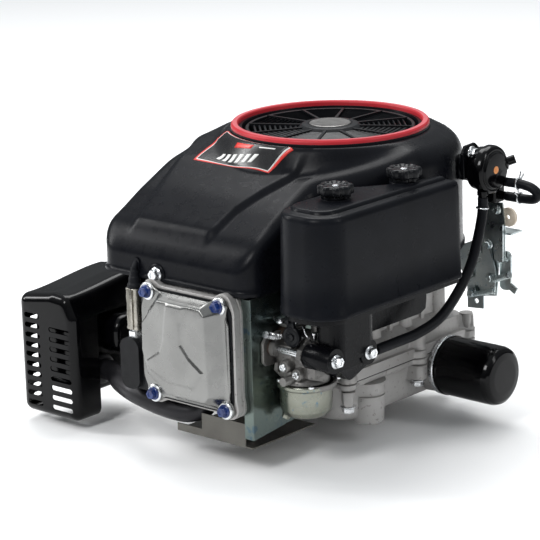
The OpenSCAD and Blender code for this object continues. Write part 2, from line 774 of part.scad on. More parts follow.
module air_cleaner_cover() {
    color("#1b1c1f") difference() {
        union() {
            translate([0, 0, cleaner_z]) linear_extrude(cleaner_top - 8 - cleaner_z) cleaner_plan(0);
            translate([0, 0, cleaner_top - 9]) linear_extrude(9) cleaner_plan(5);
        }
        translate([0, 0, cleaner_z - e]) linear_extrude(cleaner_top - 8 - wall - cleaner_z) cleaner_plan(wall);
        translate([0, 0, cleaner_z]) linear_extrude(cleaner_top - wall - cleaner_z) cleaner_plan(5 + wall);
        for (p = knob_at) bar_z(p.x, p.y, stud_r + gap, 200, 320);
    }
}

module knob(p) {
    color("#151618") translate([p.x, p.y, cleaner_top + gap]) difference() {
        union() {
            cylinder(r = 12, h = 5);
            translate([0, 0, 4]) linear_extrude(14) {
                circle(r = knob_d / 2 - 3);
                for (i = [0 : 7]) rotate(i * 45) translate([knob_d / 2 - 5, 0]) circle(r = 5);
            }
        }
        translate([0, 0, -e]) cylinder(r = stud_r + run, h = 30);
    }
}

module front_knob() { knob(knob_at[0]); }
module rear_knob() { knob(knob_at[1]); }

// ---------- oil system ----------

module oil_filter() {
    color("#0d0e10") difference() {
        union() {
            bar_x(filter_at[0], filter_at[1], filter_d / 2, filter_x + gap, filter_x + filter_l - 6);
            bar_x(filter_at[0], filter_at[1], filter_d / 2 - 6, filter_x + filter_l - 7, filter_x + filter_l);
        }
        bar_x(filter_at[0], filter_at[1], 8 + run, filter_x - e, filter_x + 16);
    }
}

module along_fill(z0) {
    translate(fill_foot) rotate([0, acos(fill_axis.z / norm(fill_axis)), atan2(fill_axis.y, fill_axis.x)])
        translate([0, 0, z0]) children();
}

module oil_fill_tube() {
    color("#202124") difference() {
        along_fill(2) cylinder(r = 11, h = norm(fill_axis) - 2);
        along_fill(-2) cylinder(r = 8.5, h = norm(fill_axis) + 10);
    }
}

module dipstick() {
    color("#e0b020") {
        along_fill(norm(fill_axis) + gap) cylinder(r = 14, h = 12);
        along_fill(norm(fill_axis) - 12) cylinder(r = 8.2, h = 14);
        along_fill(20) cylinder(r = 2, h = norm(fill_axis) - 20);
    }
}

// ---------- fuel pump, hoses and controls ----------

module fuel_pump() {
    color("#121315") {
        bar_x(70, 280, 28, pump_x, 186);
        bar_x(70, 280, 25, 186, 190);
        bar_x(92, 262, 4, 184, 196);
        bar_z(180, 55, 4, 244, 260);
        block([pump_x + 3, 84, 236], [176, 104, 262]);
        bar_x(100, 243, 4, 176, 186);
        bar_x(70, 278, 4, 130, pump_x + e);
    }
}

module fuel_hose() {
    color("#17181b") swept(smooth(fuel_route, 3), 6, 10, [1, 0.3, 0.1]);
}

module pump_hose() {
    color("#17181b") swept(smooth(pump_route, 3), 5.5, 10, [0.1, 1, 0]);
}

module hose_clamps() {
    color("gainsboro") {
        translate([180, 54.3, 238]) difference() {
            cylinder(r = 7.6, h = 2.2);
            translate([0, 0, -e]) cylinder(r = 6.2, h = 6);
        }
        translate([202, 92.9, 262]) to_x() difference() {
            cylinder(r = 7, h = 2.2);
            translate([0, 0, -e]) cylinder(r = 5.7, h = 6);
        }
        translate([196, 100, 243]) to_x() difference() {
            cylinder(r = 7, h = 2.2);
            translate([0, 0, -e]) cylinder(r = 5.7, h = 6);
        }
    }
}

module control_bracket() {
    color("#b9c1c4") {
        translate([0, 102, 0]) rotate([90, 0, 0]) linear_extrude(2) difference() {
            polygon([[97, 152], [97, 172], [118, 176], [140, 186], [151, 206], [152, 231], [175, 234], [178, 208],
                [178, 164], [169, 161], [166, 120], [147, 117], [147, 101], [124, 99], [123, 132], [112, 148]]);
            translate([137, 109]) circle(r = 3);
        }
        bar_y(176, 165, 4, 101, 110);
        block([150, 101, 196], [186, 124, 198]);
        for (z = [157, 171]) bar_y(104, z, 6, 102, 106);
    }
}

module control_lever() {
    color("#aab4b8") translate([0, 106, 0]) rotate([90, 0, 0]) linear_extrude(2.5) difference() {
        union() {
            round_rect(168, 184, 128, 175, 6);
            translate([184, 128]) rotate(-30) translate([-10, 0]) square([16, 8]);
        }
        translate([176, 165]) circle(r = 4 + run);
    }
}

// ---------- crankshaft and what turns with it ----------

module crankshaft() {
    journal_r = journal_d / 2;
    color("#9da0a4") {
        difference() {
            bar_z(0, 0, pto_d / 2, -pto_l, 1);
            block([pto_d / 2 - 3, -3.2, -pto_l - e], [pto_d, 3.2, -4]);
        }
        bar_z(0, 0, 13.6, 0, 15);
        bar_z(0, 0, journal_r, 14, 60);
        bar_z(0, 0, 17, 60, web_z[0] + e);
        translate([0, 0, gear_z]) linear_extrude(gear_t) gear_2d(crank_teeth, gear_m, atan2(cam_at.y, cam_at.x));
        for (z = web_z) bar_z(0, 0, web_r, z, z + web_t);
        bar_z(0, 0, journal_r, web_z[1] + web_t - e, 204);
        bar_z(0, 0, 14, 203, 270);
        bar_z(0, 0, 8, 269, 286);
    }
}

module crankpin() {
    color("#b4b6ba") bar_z(0, -crank_r, pin_r, web_z[0] + web_t + gap, web_z[1] - gap);
}

module connecting_rod() {
    h = 22;
    z0 = cyl_z - h / 2;
    color("#a9adb0") difference() {
        union() {
            bar_z(0, -crank_r, 24, z0, z0 + h);
            bar_z(0, pin_y, 16, z0, z0 + h);
            block([-9, pin_y, cyl_z - 8], [9, -crank_r, cyl_z + 8]);
        }
        bar_z(0, -crank_r, pin_r + run, z0 - e, z0 + h + e);
        bar_z(0, pin_y, 11, z0 - e, z0 + h + e);
    }
}

module wrist_pin() { color("#c4c6c9") bar_z(0, pin_y, 11, cyl_z - 32, cyl_z + 32); }

module piston() {
    color("#b7babd") difference() {
        union() {
            bar_y(0, cyl_z, bore_r - 0.25, crown_y, skirt_y);
            for (i = [0 : 2]) bar_y(0, cyl_z, bore_r - run, crown_y + 4 + 5 * i, crown_y + 6 + 5 * i);
        }
        bar_y(0, cyl_z, bore_r - 6, crown_y + 11, skirt_y + e);
        for (i = [0 : 2]) difference() {
            bar_y(0, cyl_z, bore_r + e, crown_y + 6.2 + 5 * i, crown_y + 6.8 + 5 * i);
            bar_y(0, cyl_z, bore_r - 2, crown_y, skirt_y);
        }
    }
    color("#b7babd") for (z = [cyl_z - 41, cyl_z + 15]) difference() {
        bar_z(0, pin_y, 17, z, z + 26);
        bar_z(0, pin_y, 11, cyl_z - 32, cyl_z + 32);
    }
}

module camshaft() {
    turn = atan2(cam_at.y, cam_at.x) + 180 + 180 / cam_teeth;
    color("#8d9094") translate([cam_at.x, cam_at.y, 0]) {
        bar_z(0, 0, 8, 26, 80);
        bar_z(0, 0, 7, 79, 172);
        translate([0, 0, gear_z]) linear_extrude(gear_t) gear_2d(cam_teeth, gear_m, turn);
        for (i = [0, 1]) translate([0, 0, cyl_z + valve_z[i] - 5]) rotate(i * 110 + 30) {
            cylinder(r = lobe_r, h = 10);
            translate([lobe_lift, 0, 0]) cylinder(r = lobe_r - 0.3, h = 10);
        }
    }
}

module flywheel() {
    blades = 18;
    color("#85888c") difference() {
        union() {
            bar_z(0, 0, fly_r, fly_z, fly_z + 16);
            bar_z(0, 0, 30, 208, 268);
            for (i = [0 : blades - 1]) rotate(i * 360 / blades) block([56, -2, fly_z + 15], [fly_r - 3, 2, 288]);
            for (i = [0 : 3]) rotate(i * 90 + 10) bar_z(44, 0, 6, fly_z + 15, 305);
            translate([0, 0, fly_z + 2]) linear_extrude(10) difference() {
                gear_2d(90, 2 * gear_ring_r / 91.6, 0);
                circle(r = fly_r - 2);
            }
        }
        bar_z(0, 0, 14, 200, 300);
    }
}

module flywheel_nut() {
    color("gainsboro") difference() {
        union() {
            bar_z(0, 0, 19, 270, 273);
            translate([0, 0, 273]) cylinder(r = 16, h = 11, $fn = 6);
        }
        bar_z(0, 0, 8, 260, 300);
    }
}

module debris_screen() {
    arms = 12;
    color("#17181b") {
        difference() {
            bar_z(0, 0, 100, 312, 321);
            bar_z(0, 0, 94, 300, 330);
        }
        for (r = [54, 74]) difference() {
            bar_z(0, 0, r, 313, 318);
            bar_z(0, 0, r - 2.6, 300, 330);
        }
        difference() {
            bar_z(0, 0, 42, 305.2, 320);
            bar_z(0, 0, 8, 300, 312);
        }
        for (i = [0 : arms - 1]) rotate(i * 360 / arms) block([30, -1.3, 312], [96, 1.3, 320]);
        for (i = [0 : 3]) rotate(i * 90 + 10) bar_z(44, 0, 6, 305.2, 314);
    }
}

module screen_hub_cap() { color("gainsboro") bar_z(0, 0, 26, 320, 322); }

// ---------- valve gear ----------

// A valve with its spring retainer; s picks intake or exhaust
module valve(s, head_r) {
    z = cyl_z + valve_z[s];
    tip = rocker_y + 4 + gap;
    bar_y(0, z, head_r, -191.5, -188.5);
    bar_y(0, z, 3.3, tip, -189);
    bar_y(0, z, 11, tip + 3, tip + 6);
}

module intake_valve() { color("#a6a9ad") valve(0, 17.5); }
module exhaust_valve() { color("#8f8580") valve(1, 16); }

module valve_springs() {
    turns = 4;
    per_turn = 12;
    wire = 1.6;
    y0 = box_y - wire;
    y1 = rocker_y + 4 + gap + 6 + wire;
    color("#9fb0a8") for (z = valve_z) translate([0, 0, cyl_z + z])
        swept([for (i = [0 : turns * per_turn]) let (a = 360 * i / per_turn)
            [9 * cos(a), y0 + (y1 - y0) * i / (turns * per_turn), 9 * sin(a)]], wire, 6, [0, 1, 0]);
}

module rocker(s) {
    z = cyl_z + valve_z[s];
    difference() {
        union() {
            bar_z(pivot_x, rocker_y, 8, z - 6, z + 6);
            bar_z(0, rocker_y, 4, z - 5, z + 5);
            bar_z(rod_x, rocker_y, 4, z - 5, z + 5);
            block([rod_x, rocker_y - 4, z - 5], [0, rocker_y + 2, z + 5]);
        }
        bar_z(pivot_x, rocker_y, 4 + run, z - 10, z + 10);
    }
}

module intake_rocker() { color("#8a8d90") rocker(0); }
module exhaust_rocker() { color("#8a8d90") rocker(1); }

// A pushrod with its tappet foot, which stands clear of the cam's nose
module pushrod(s) {
    z = cyl_z + valve_z[s];
    foot = cam_at.y - lobe_r - lobe_lift - gap;
    bar_y(rod_x, z, 3.5, rocker_y + 4 + gap, foot - 3);
    bar_y(rod_x, z, 5.5, foot - 4, foot);
}

module intake_pushrod() { color("#9a9da1") pushrod(0); }
module exhaust_pushrod() { color("#9a9da1") pushrod(1); }

// ---------- what is drawn ----------

sump();
crankcase();
sump_bolts();
gasket_set();
main_bearings();
cylinder_head();
valve_cover();
valve_cover_bolts();
blower_housing();
housing_bolts();
ring_trim();
side_shield();
lower_shroud();
left_baffle();
spark_plug();
spark_plug_boot();
ignition_coil();
starter_motor();
starter_pinion();
exhaust_pipe();
exhaust_nuts();
muffler_body();
muffler_guard();
intake_insulator();
carburetor_body();
float_bowl();
intake_studs();
throttle_shaft();
choke_lever();
air_cleaner_base();
filter_element();
air_cleaner_cover();
front_knob();
rear_knob();
oil_filter();
fuel_pump();
fuel_hose();
pump_hose();
hose_clamps();
control_bracket();
control_lever();
oil_fill_tube();
dipstick();
crankshaft();
flywheel();
flywheel_nut();
debris_screen();
screen_hub_cap();
crankpin();
piston();
wrist_pin();
connecting_rod();
camshaft();
intake_valve();
exhaust_valve();
valve_springs();
intake_rocker();
exhaust_rocker();
intake_pushrod();
exhaust_pushrod();
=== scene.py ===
import math

import bmesh
import bpy
import numpy as np
from mathutils import Matrix, Vector


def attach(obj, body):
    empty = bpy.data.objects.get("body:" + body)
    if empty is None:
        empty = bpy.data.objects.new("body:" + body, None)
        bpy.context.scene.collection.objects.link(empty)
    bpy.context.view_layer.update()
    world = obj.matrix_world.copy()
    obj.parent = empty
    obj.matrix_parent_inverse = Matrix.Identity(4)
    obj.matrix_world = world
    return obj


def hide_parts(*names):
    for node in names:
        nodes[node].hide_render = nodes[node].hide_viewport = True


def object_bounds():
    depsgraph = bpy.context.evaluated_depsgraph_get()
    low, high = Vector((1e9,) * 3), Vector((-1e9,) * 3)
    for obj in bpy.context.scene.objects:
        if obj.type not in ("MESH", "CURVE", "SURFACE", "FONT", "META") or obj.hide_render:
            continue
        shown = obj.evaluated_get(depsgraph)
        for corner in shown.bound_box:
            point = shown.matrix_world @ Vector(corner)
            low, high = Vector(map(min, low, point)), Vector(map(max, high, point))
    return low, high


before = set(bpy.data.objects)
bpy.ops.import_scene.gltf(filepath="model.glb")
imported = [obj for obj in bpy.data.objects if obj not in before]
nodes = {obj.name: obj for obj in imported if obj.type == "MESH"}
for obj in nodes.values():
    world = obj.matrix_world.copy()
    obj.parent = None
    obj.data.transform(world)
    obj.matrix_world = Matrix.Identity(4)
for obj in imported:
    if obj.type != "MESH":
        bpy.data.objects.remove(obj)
cad_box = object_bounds()

# The engine stands on its output side: the shaft is along Z at the origin, the cylinder points to -Y, and the
# air cleaner, carburettor and filter are on the +X side. Meshes are built in millimetres.
MM = 0.001


# ---------- camera, floor and light ----------

LENS = 166.7
CAMERA_PLACE = (1.8407, -2.1938, 0.9329)
CAMERA_BACK = (0.6391, -0.7224, 0.2639)    # from the engine to the camera
CAMERA_RIGHT = (0.7536, 0.6568, -0.0269)
MIDDLE = (0.0, -0.05, 0.15)                # what the lights point at


def add_camera():
    """A long lens at the front right corner, a little above the engine's middle."""
    data = bpy.data.cameras.new("camera")
    data.lens = LENS
    data.sensor_width = 36.0
    data.clip_end = 50.0
    camera = bpy.data.objects.new("camera", data)
    back = Vector(CAMERA_BACK).normalized()
    right = Vector(CAMERA_RIGHT).normalized()
    up = back.cross(right)
    turn = Matrix((right, up, back)).transposed().to_4x4()
    camera.matrix_world = Matrix.Translation(CAMERA_PLACE) @ turn
    bpy.context.scene.collection.objects.link(camera)
    bpy.context.scene.camera = camera


def add_floor():
    """A pale floor just under the power take-off."""
    height = cad_box[0][2] - 0.001
    corners = [(x, y, height) for x, y in ((-6, -6), (6, -6), (6, 6), (-6, 6))]
    mesh = bpy.data.meshes.new("floor")
    mesh.from_pydata(corners, [], [(0, 1, 2, 3)])
    floor = bpy.data.objects.new("floor", mesh)
    bpy.context.scene.collection.objects.link(floor)
    paint = bpy.data.materials.new("floor_white")
    paint.use_nodes = True
    shader = paint.node_tree.nodes["Principled BSDF"]
    shader.inputs["Base Color"].default_value = (0.97, 0.97, 0.97, 1)
    shader.inputs["Roughness"].default_value = 0.9
    shader.inputs["Specular IOR Level"].default_value = 0.1
    mesh.materials.append(paint)


def add_light(name, place, size, power):
    """A rectangular soft box that points at the engine."""
    data = bpy.data.lights.new(name, "AREA")
    data.shape = "RECTANGLE"
    data.size, data.size_y = size
    data.energy = power
    light = bpy.data.objects.new(name, data)
    light.location = place
    aim = Vector(MIDDLE) - Vector(place)
    light.rotation_euler = aim.to_track_quat("-Z", "Y").to_euler()
    bpy.context.scene.collection.objects.link(light)


def add_lights():
    """Soft boxes at the front left and overhead, and a sky that is paler above than at the horizon."""
    bpy.context.scene.view_settings.view_transform = "Standard"
    world = bpy.data.worlds.new("studio")
    world.use_nodes = True
    tree = world.node_tree
    coords = tree.nodes.new("ShaderNodeTexCoord")
    split = tree.nodes.new("ShaderNodeSeparateXYZ")
    height = tree.nodes.new("ShaderNodeMapRange")
    height.inputs["From Min"].default_value = 0.05
    height.inputs["From Max"].default_value = 0.9
    height.inputs["To Min"].default_value = 0.10
    height.inputs["To Max"].default_value = 0.72
    sky = tree.nodes["Background"]
    sky.inputs["Color"].default_value = (0.93, 0.97, 1.0, 1)
    tree.links.new(coords.outputs["Generated"], split.inputs[0])
    tree.links.new(split.outputs["Z"], height.inputs["Value"])
    tree.links.new(height.outputs["Result"], sky.inputs["Strength"])
    bpy.context.scene.world = world
    add_light("key", (0.2, -2.6, 2.2), (0.7, 0.9), 42)
    add_light("left_strip", (-2.4, -1.3, 1.5), (0.4, 1.8), 38)
    add_light("right_strip", (2.6, 0.6, 1.6), (0.25, 1.6), 13)
    add_light("top", (-0.9, 0.9, 2.9), (2.2, 1.8), 80)


# ---------- materials ----------

class Nodes:
    """Short calls for building a node tree."""

    def __init__(self, material):
        material.use_nodes = True
        self.tree = material.node_tree
        self.shader = self.tree.nodes["Principled BSDF"]
        self.coords = self.tree.nodes.new("ShaderNodeTexCoord").outputs["Object"]

    def link(self, a, b):
        self.tree.links.new(a, b)

    def add(self, kind, **values):
        """A node with its inputs set. An underscore stands for a space in an input's name."""
        node = self.tree.nodes.new("ShaderNode" + kind)
        for name, value in values.items():
            node.inputs[name.replace("_", " ")].default_value = value
        return node

    def noise(self, scale, detail=4.0, stretch=(1, 1, 1)):
        mapping = self.add("Mapping", Scale=stretch)
        self.link(self.coords, mapping.inputs["Vector"])
        node = self.add("TexNoise", Scale=scale, Detail=detail)
        self.link(mapping.outputs["Vector"], node.inputs["Vector"])
        return node.outputs["Fac"]

    def spread(self, value, low, high, start=0.3, end=0.7):
        node = self.add("MapRange", From_Min=start, From_Max=end, To_Min=low, To_Max=high)
        self.link(value, node.inputs["Value"])
        return node.outputs["Result"]

    def mix(self, factor, a, b):
        node = self.add("Mix")
        node.data_type = "RGBA"
        self.link(factor, node.inputs[0])
        for socket, colour in ((node.inputs[6], a), (node.inputs[7], b)):
            if isinstance(colour, tuple):
                socket.default_value = (*colour, 1)
            else:
                self.link(colour, socket)
        return node.outputs[2]

    def bump(self, height, distance, strength=1.0, normal=None):
        node = self.add("Bump", Distance=distance, Strength=strength)
        self.link(height, node.inputs["Height"])
        if normal is not None:
            self.link(normal, node.inputs["Normal"])
        return node.outputs["Normal"]


def surface(name, colour, second, rough=(0.4, 0.5), metal=0.0, blotch=25.0, grain=900.0,
            grain_height=0.00006, ripple=0.0, ripple_scale=60.0, coat=0.0, specular=0.5, streak=(1, 1, 1),
            speck=None):
    """A painted, moulded, cast or plated finish: two tones that drift over the surface, a fine grain in
    the bump, a slow ripple, and a roughness that varies. speck adds small marks of a third colour."""
    material = bpy.data.materials.new(name)
    n = Nodes(material)
    drift = n.noise(blotch, 5.0, streak)
    tone = n.mix(n.spread(drift, 0.0, 1.0), colour, second)
    if speck is not None:
        marks = n.spread(n.noise(blotch * 9, 3.0, streak), 0.0, 1.0, 0.62, 0.70)
        tone = n.mix(marks, tone, speck)
    n.link(tone, n.shader.inputs["Base Color"])
    fine = n.noise(grain, 2.0, streak)
    n.link(n.spread(n.noise(blotch * 3, 4.0), rough[0], rough[1]), n.shader.inputs["Roughness"])
    normal = n.bump(fine, grain_height)
    if ripple > 0:
        normal = n.bump(n.noise(ripple_scale, 2.0), ripple, 1.0, normal)
    n.link(normal, n.shader.inputs["Normal"])
    n.shader.inputs["Metallic"].default_value = metal
    n.shader.inputs["Coat Weight"].default_value = coat
    n.shader.inputs["Coat Roughness"].default_value = 0.08
    n.shader.inputs["Specular IOR Level"].default_value = specular
    return material


PAINTS = {
    "housing": surface("housing_plastic", (0.0040, 0.0044, 0.0060), (0.0058, 0.0063, 0.0084), (0.24, 0.34),
                       grain=2600, grain_height=0.00004, ripple=0.0002, ripple_scale=14, specular=0.085),
    "cleaner": surface("cleaner_plastic", (0.0042, 0.0047, 0.0064), (0.0062, 0.0069, 0.0092), (0.26, 0.36),
                       grain=2600, grain_height=0.00005, ripple=0.0002, ripple_scale=14, specular=0.085),
    "screen": surface("screen_nylon", (0.0045, 0.0050, 0.0062), (0.0075, 0.0082, 0.010), (0.28, 0.40),
                      grain=1800, specular=0.22),
    "knob": surface("knob_plastic", (0.0040, 0.0044, 0.0058), (0.0070, 0.0076, 0.0094), (0.24, 0.38),
                    grain=1500, specular=0.2),
    "gloss": surface("gloss_enamel", (0.0007, 0.0007, 0.0010), (0.0016, 0.0016, 0.0021), (0.09, 0.18),
                     blotch=40, grain=500, grain_height=0.00002, ripple=0.0003, ripple_scale=22,
                     specular=0.17),
    "elbow": surface("elbow_nylon", (0.0014, 0.0015, 0.0022), (0.0028, 0.0030, 0.0040), (0.20, 0.32),
                     grain=1500, specular=0.11),
    "ring": surface("ring_red", (0.42, 0.016, 0.026), (0.50, 0.024, 0.034), (0.34, 0.46), grain=1500,
                    specular=0.3),
    "ring_face": surface("ring_face_rose", (0.46, 0.075, 0.090), (0.54, 0.11, 0.125), (0.36, 0.50),
                         grain=1500, specular=0.3),
    "cover": surface("pressed_aluminium", (0.20, 0.20, 0.195), (0.27, 0.27, 0.262), (0.22, 0.31), metal=1.0,
                     blotch=14, grain_height=0.00003, ripple=0.00025, ripple_scale=26),
    "cast": surface("cast_aluminium", (0.34, 0.33, 0.32), (0.44, 0.43, 0.42), (0.44, 0.60), metal=0.45,
                    blotch=22, grain=1300, grain_height=0.00022, speck=(0.27, 0.255, 0.245)),
    "die_cast": surface("die_cast", (0.15, 0.145, 0.14), (0.23, 0.225, 0.215), (0.34, 0.50), metal=0.8,
                        blotch=40, grain=1300, grain_height=0.0002, speck=(0.07, 0.068, 0.066)),
    "bolt": surface("bright_zinc", (0.66, 0.68, 0.70), (0.82, 0.83, 0.84), (0.18, 0.34), metal=1.0,
                    blotch=90, speck=(0.42, 0.44, 0.46)),
    "blue": surface("blue_paint_mark", (0.003, 0.012, 0.085), (0.008, 0.035, 0.17), (0.24, 0.38),
                    blotch=160, coat=0.15),
    "zinc": surface("yellow_zinc", (0.095, 0.125, 0.130), (0.16, 0.19, 0.165), (0.18, 0.32), metal=0.95,
                    blotch=9, ripple=0.0004, ripple_scale=18, speck=(0.075, 0.115, 0.14)),
    "bowl": surface("bowl_zinc", (0.20, 0.205, 0.17), (0.29, 0.30, 0.26), (0.20, 0.34), metal=1.0,
                    blotch=20, speck=(0.14, 0.20, 0.23)),
    "bracket": surface("bracket_zinc", (0.44, 0.50, 0.52), (0.60, 0.64, 0.62), (0.24, 0.40), metal=1.0,
                       blotch=30, speck=(0.26, 0.38, 0.46)),
    "sheet": surface("grey_sheet", (0.10, 0.095, 0.085), (0.15, 0.145, 0.13), (0.38, 0.52), metal=0.7,
                     blotch=20),
    "head": surface("painted_head", (0.006, 0.0063, 0.0072), (0.011, 0.0115, 0.013), (0.42, 0.56), blotch=40,
                    grain=1200, grain_height=0.00018, specular=0.15),
    "exhaust": surface("heat_stained_steel", (0.010, 0.010, 0.012), (0.022, 0.021, 0.024), (0.34, 0.50),
                       metal=0.5, blotch=30, grain=1100, grain_height=0.0001),
    "sleeve": surface("worn_sleeve", (0.12, 0.115, 0.10), (0.40, 0.38, 0.34), (0.22, 0.40), metal=1.0,
                      blotch=90, grain=700, streak=(1, 1, 0.3), ripple=0.0008, ripple_scale=90,
                      speck=(0.05, 0.045, 0.04)),
    "rubber": surface("hose_rubber", (0.0038, 0.0042, 0.0056), (0.0062, 0.0068, 0.009), (0.38, 0.52),
                      blotch=50, grain=1600, grain_height=0.00008, specular=0.13),
    "brown": surface("insulator_phenolic", (0.022, 0.014, 0.010), (0.040, 0.026, 0.018), (0.40, 0.55),
                     blotch=60, specular=0.3),
    "orange": surface("orange_plug", (0.60, 0.20, 0.05), (0.72, 0.30, 0.10), (0.4, 0.5), blotch=200),
    "paper": surface("filter_paper", (0.60, 0.52, 0.34), (0.70, 0.62, 0.44), (0.8, 0.9), blotch=40),
    "steel": surface("machined_steel", (0.34, 0.34, 0.35), (0.44, 0.44, 0.45), (0.28, 0.42), metal=1.0,
                     blotch=50, grain=700),
    "fan": surface("cast_fan", (0.16, 0.16, 0.17), (0.24, 0.24, 0.25), (0.45, 0.6), metal=0.7, blotch=40),
    "hub": surface("hub_silver", (0.16, 0.155, 0.15), (0.24, 0.235, 0.23), (0.34, 0.48), metal=0.9,
                   blotch=60, grain_height=0.00008),
    "yellow": surface("yellow_cap", (0.70, 0.46, 0.04), (0.78, 0.54, 0.08), (0.35, 0.45)),
    "beige": surface("beige_washer", (0.55, 0.46, 0.36), (0.66, 0.58, 0.48), (0.5, 0.6), blotch=120),
    "label_black": surface("label_black", (0.006, 0.006, 0.007), (0.010, 0.010, 0.011), (0.22, 0.30),
                           grain=400),
    "label_red": surface("label_red", (0.62, 0.025, 0.018), (0.68, 0.035, 0.025), (0.28, 0.36), grain=400),
    "label_white": surface("label_white", (0.72, 0.72, 0.70), (0.80, 0.80, 0.78), (0.28, 0.36), grain=400),
}


# ---------- mesh building ----------

FRONT, RIGHT, UP, DOWN, ORIGIN = (0, -1, 0), (1, 0, 0), (0, 0, 1), (0, 0, -1), (0, 0, 0)
FACING_FRONT = np.array(((1, 0, 0), (0, 0, 1), (0, -1, 0.0)))   # an outline's x, y and depth as places
FACING_SIDE = np.array(((0, 1, 0), (0, 0, 1), (1, 0, 0.0)))
UPRIGHT, SIDEWAYS = (0, 2, 1), (2, 0, 1)   # orders for contour: height along Y, and along X

def circle_angles(count):
    return np.linspace(0.0, 2 * math.pi, count, endpoint=False)


def circle(radius, height, angles):
    return np.column_stack((radius * np.cos(angles), radius * np.sin(angles), np.full(len(angles), height)))


def axis_frame(axis):
    """Two directions across an axis, and the axis itself."""
    z = np.array(axis, float)
    z = z / np.linalg.norm(z)
    helper = np.array((0.0, 0.0, 1.0)) if abs(z[2]) < 0.9 else np.array((1.0, 0.0, 0.0))
    x = np.cross(helper, z)
    x = x / np.linalg.norm(x)
    return np.array((x, np.cross(z, x), z))


def turned_frame(angle):
    """The axes turned by an angle about Z."""
    c, s = math.cos(angle), math.sin(angle)
    return np.array(((c, s, 0), (-s, c, 0), (0, 0, 1.0)))


def soften(points, radius, steps=4):
    """A profile with its inner corners rounded to a radius, or as much of it as fits."""
    points = [np.array(p, float) for p in points]
    result = [points[0]]
    for before, corner, after in zip(points, points[1:], points[2:]):
        a, b = before - corner, after - corner
        reach = min(radius, np.linalg.norm(a) * 0.45, np.linalg.norm(b) * 0.45)
        start = corner + a / np.linalg.norm(a) * reach
        end = corner + b / np.linalg.norm(b) * reach
        for k in range(steps + 1):
            t = k / steps
            result.append((1 - t) ** 2 * start + 2 * t * (1 - t) * corner + t * t * end)
    result.append(points[-1])
    return result


def rod(radius, low, high):
    """The profile of a plain rod."""
    return [(0.5, low), (radius, low), (radius, high), (0.5, high)]


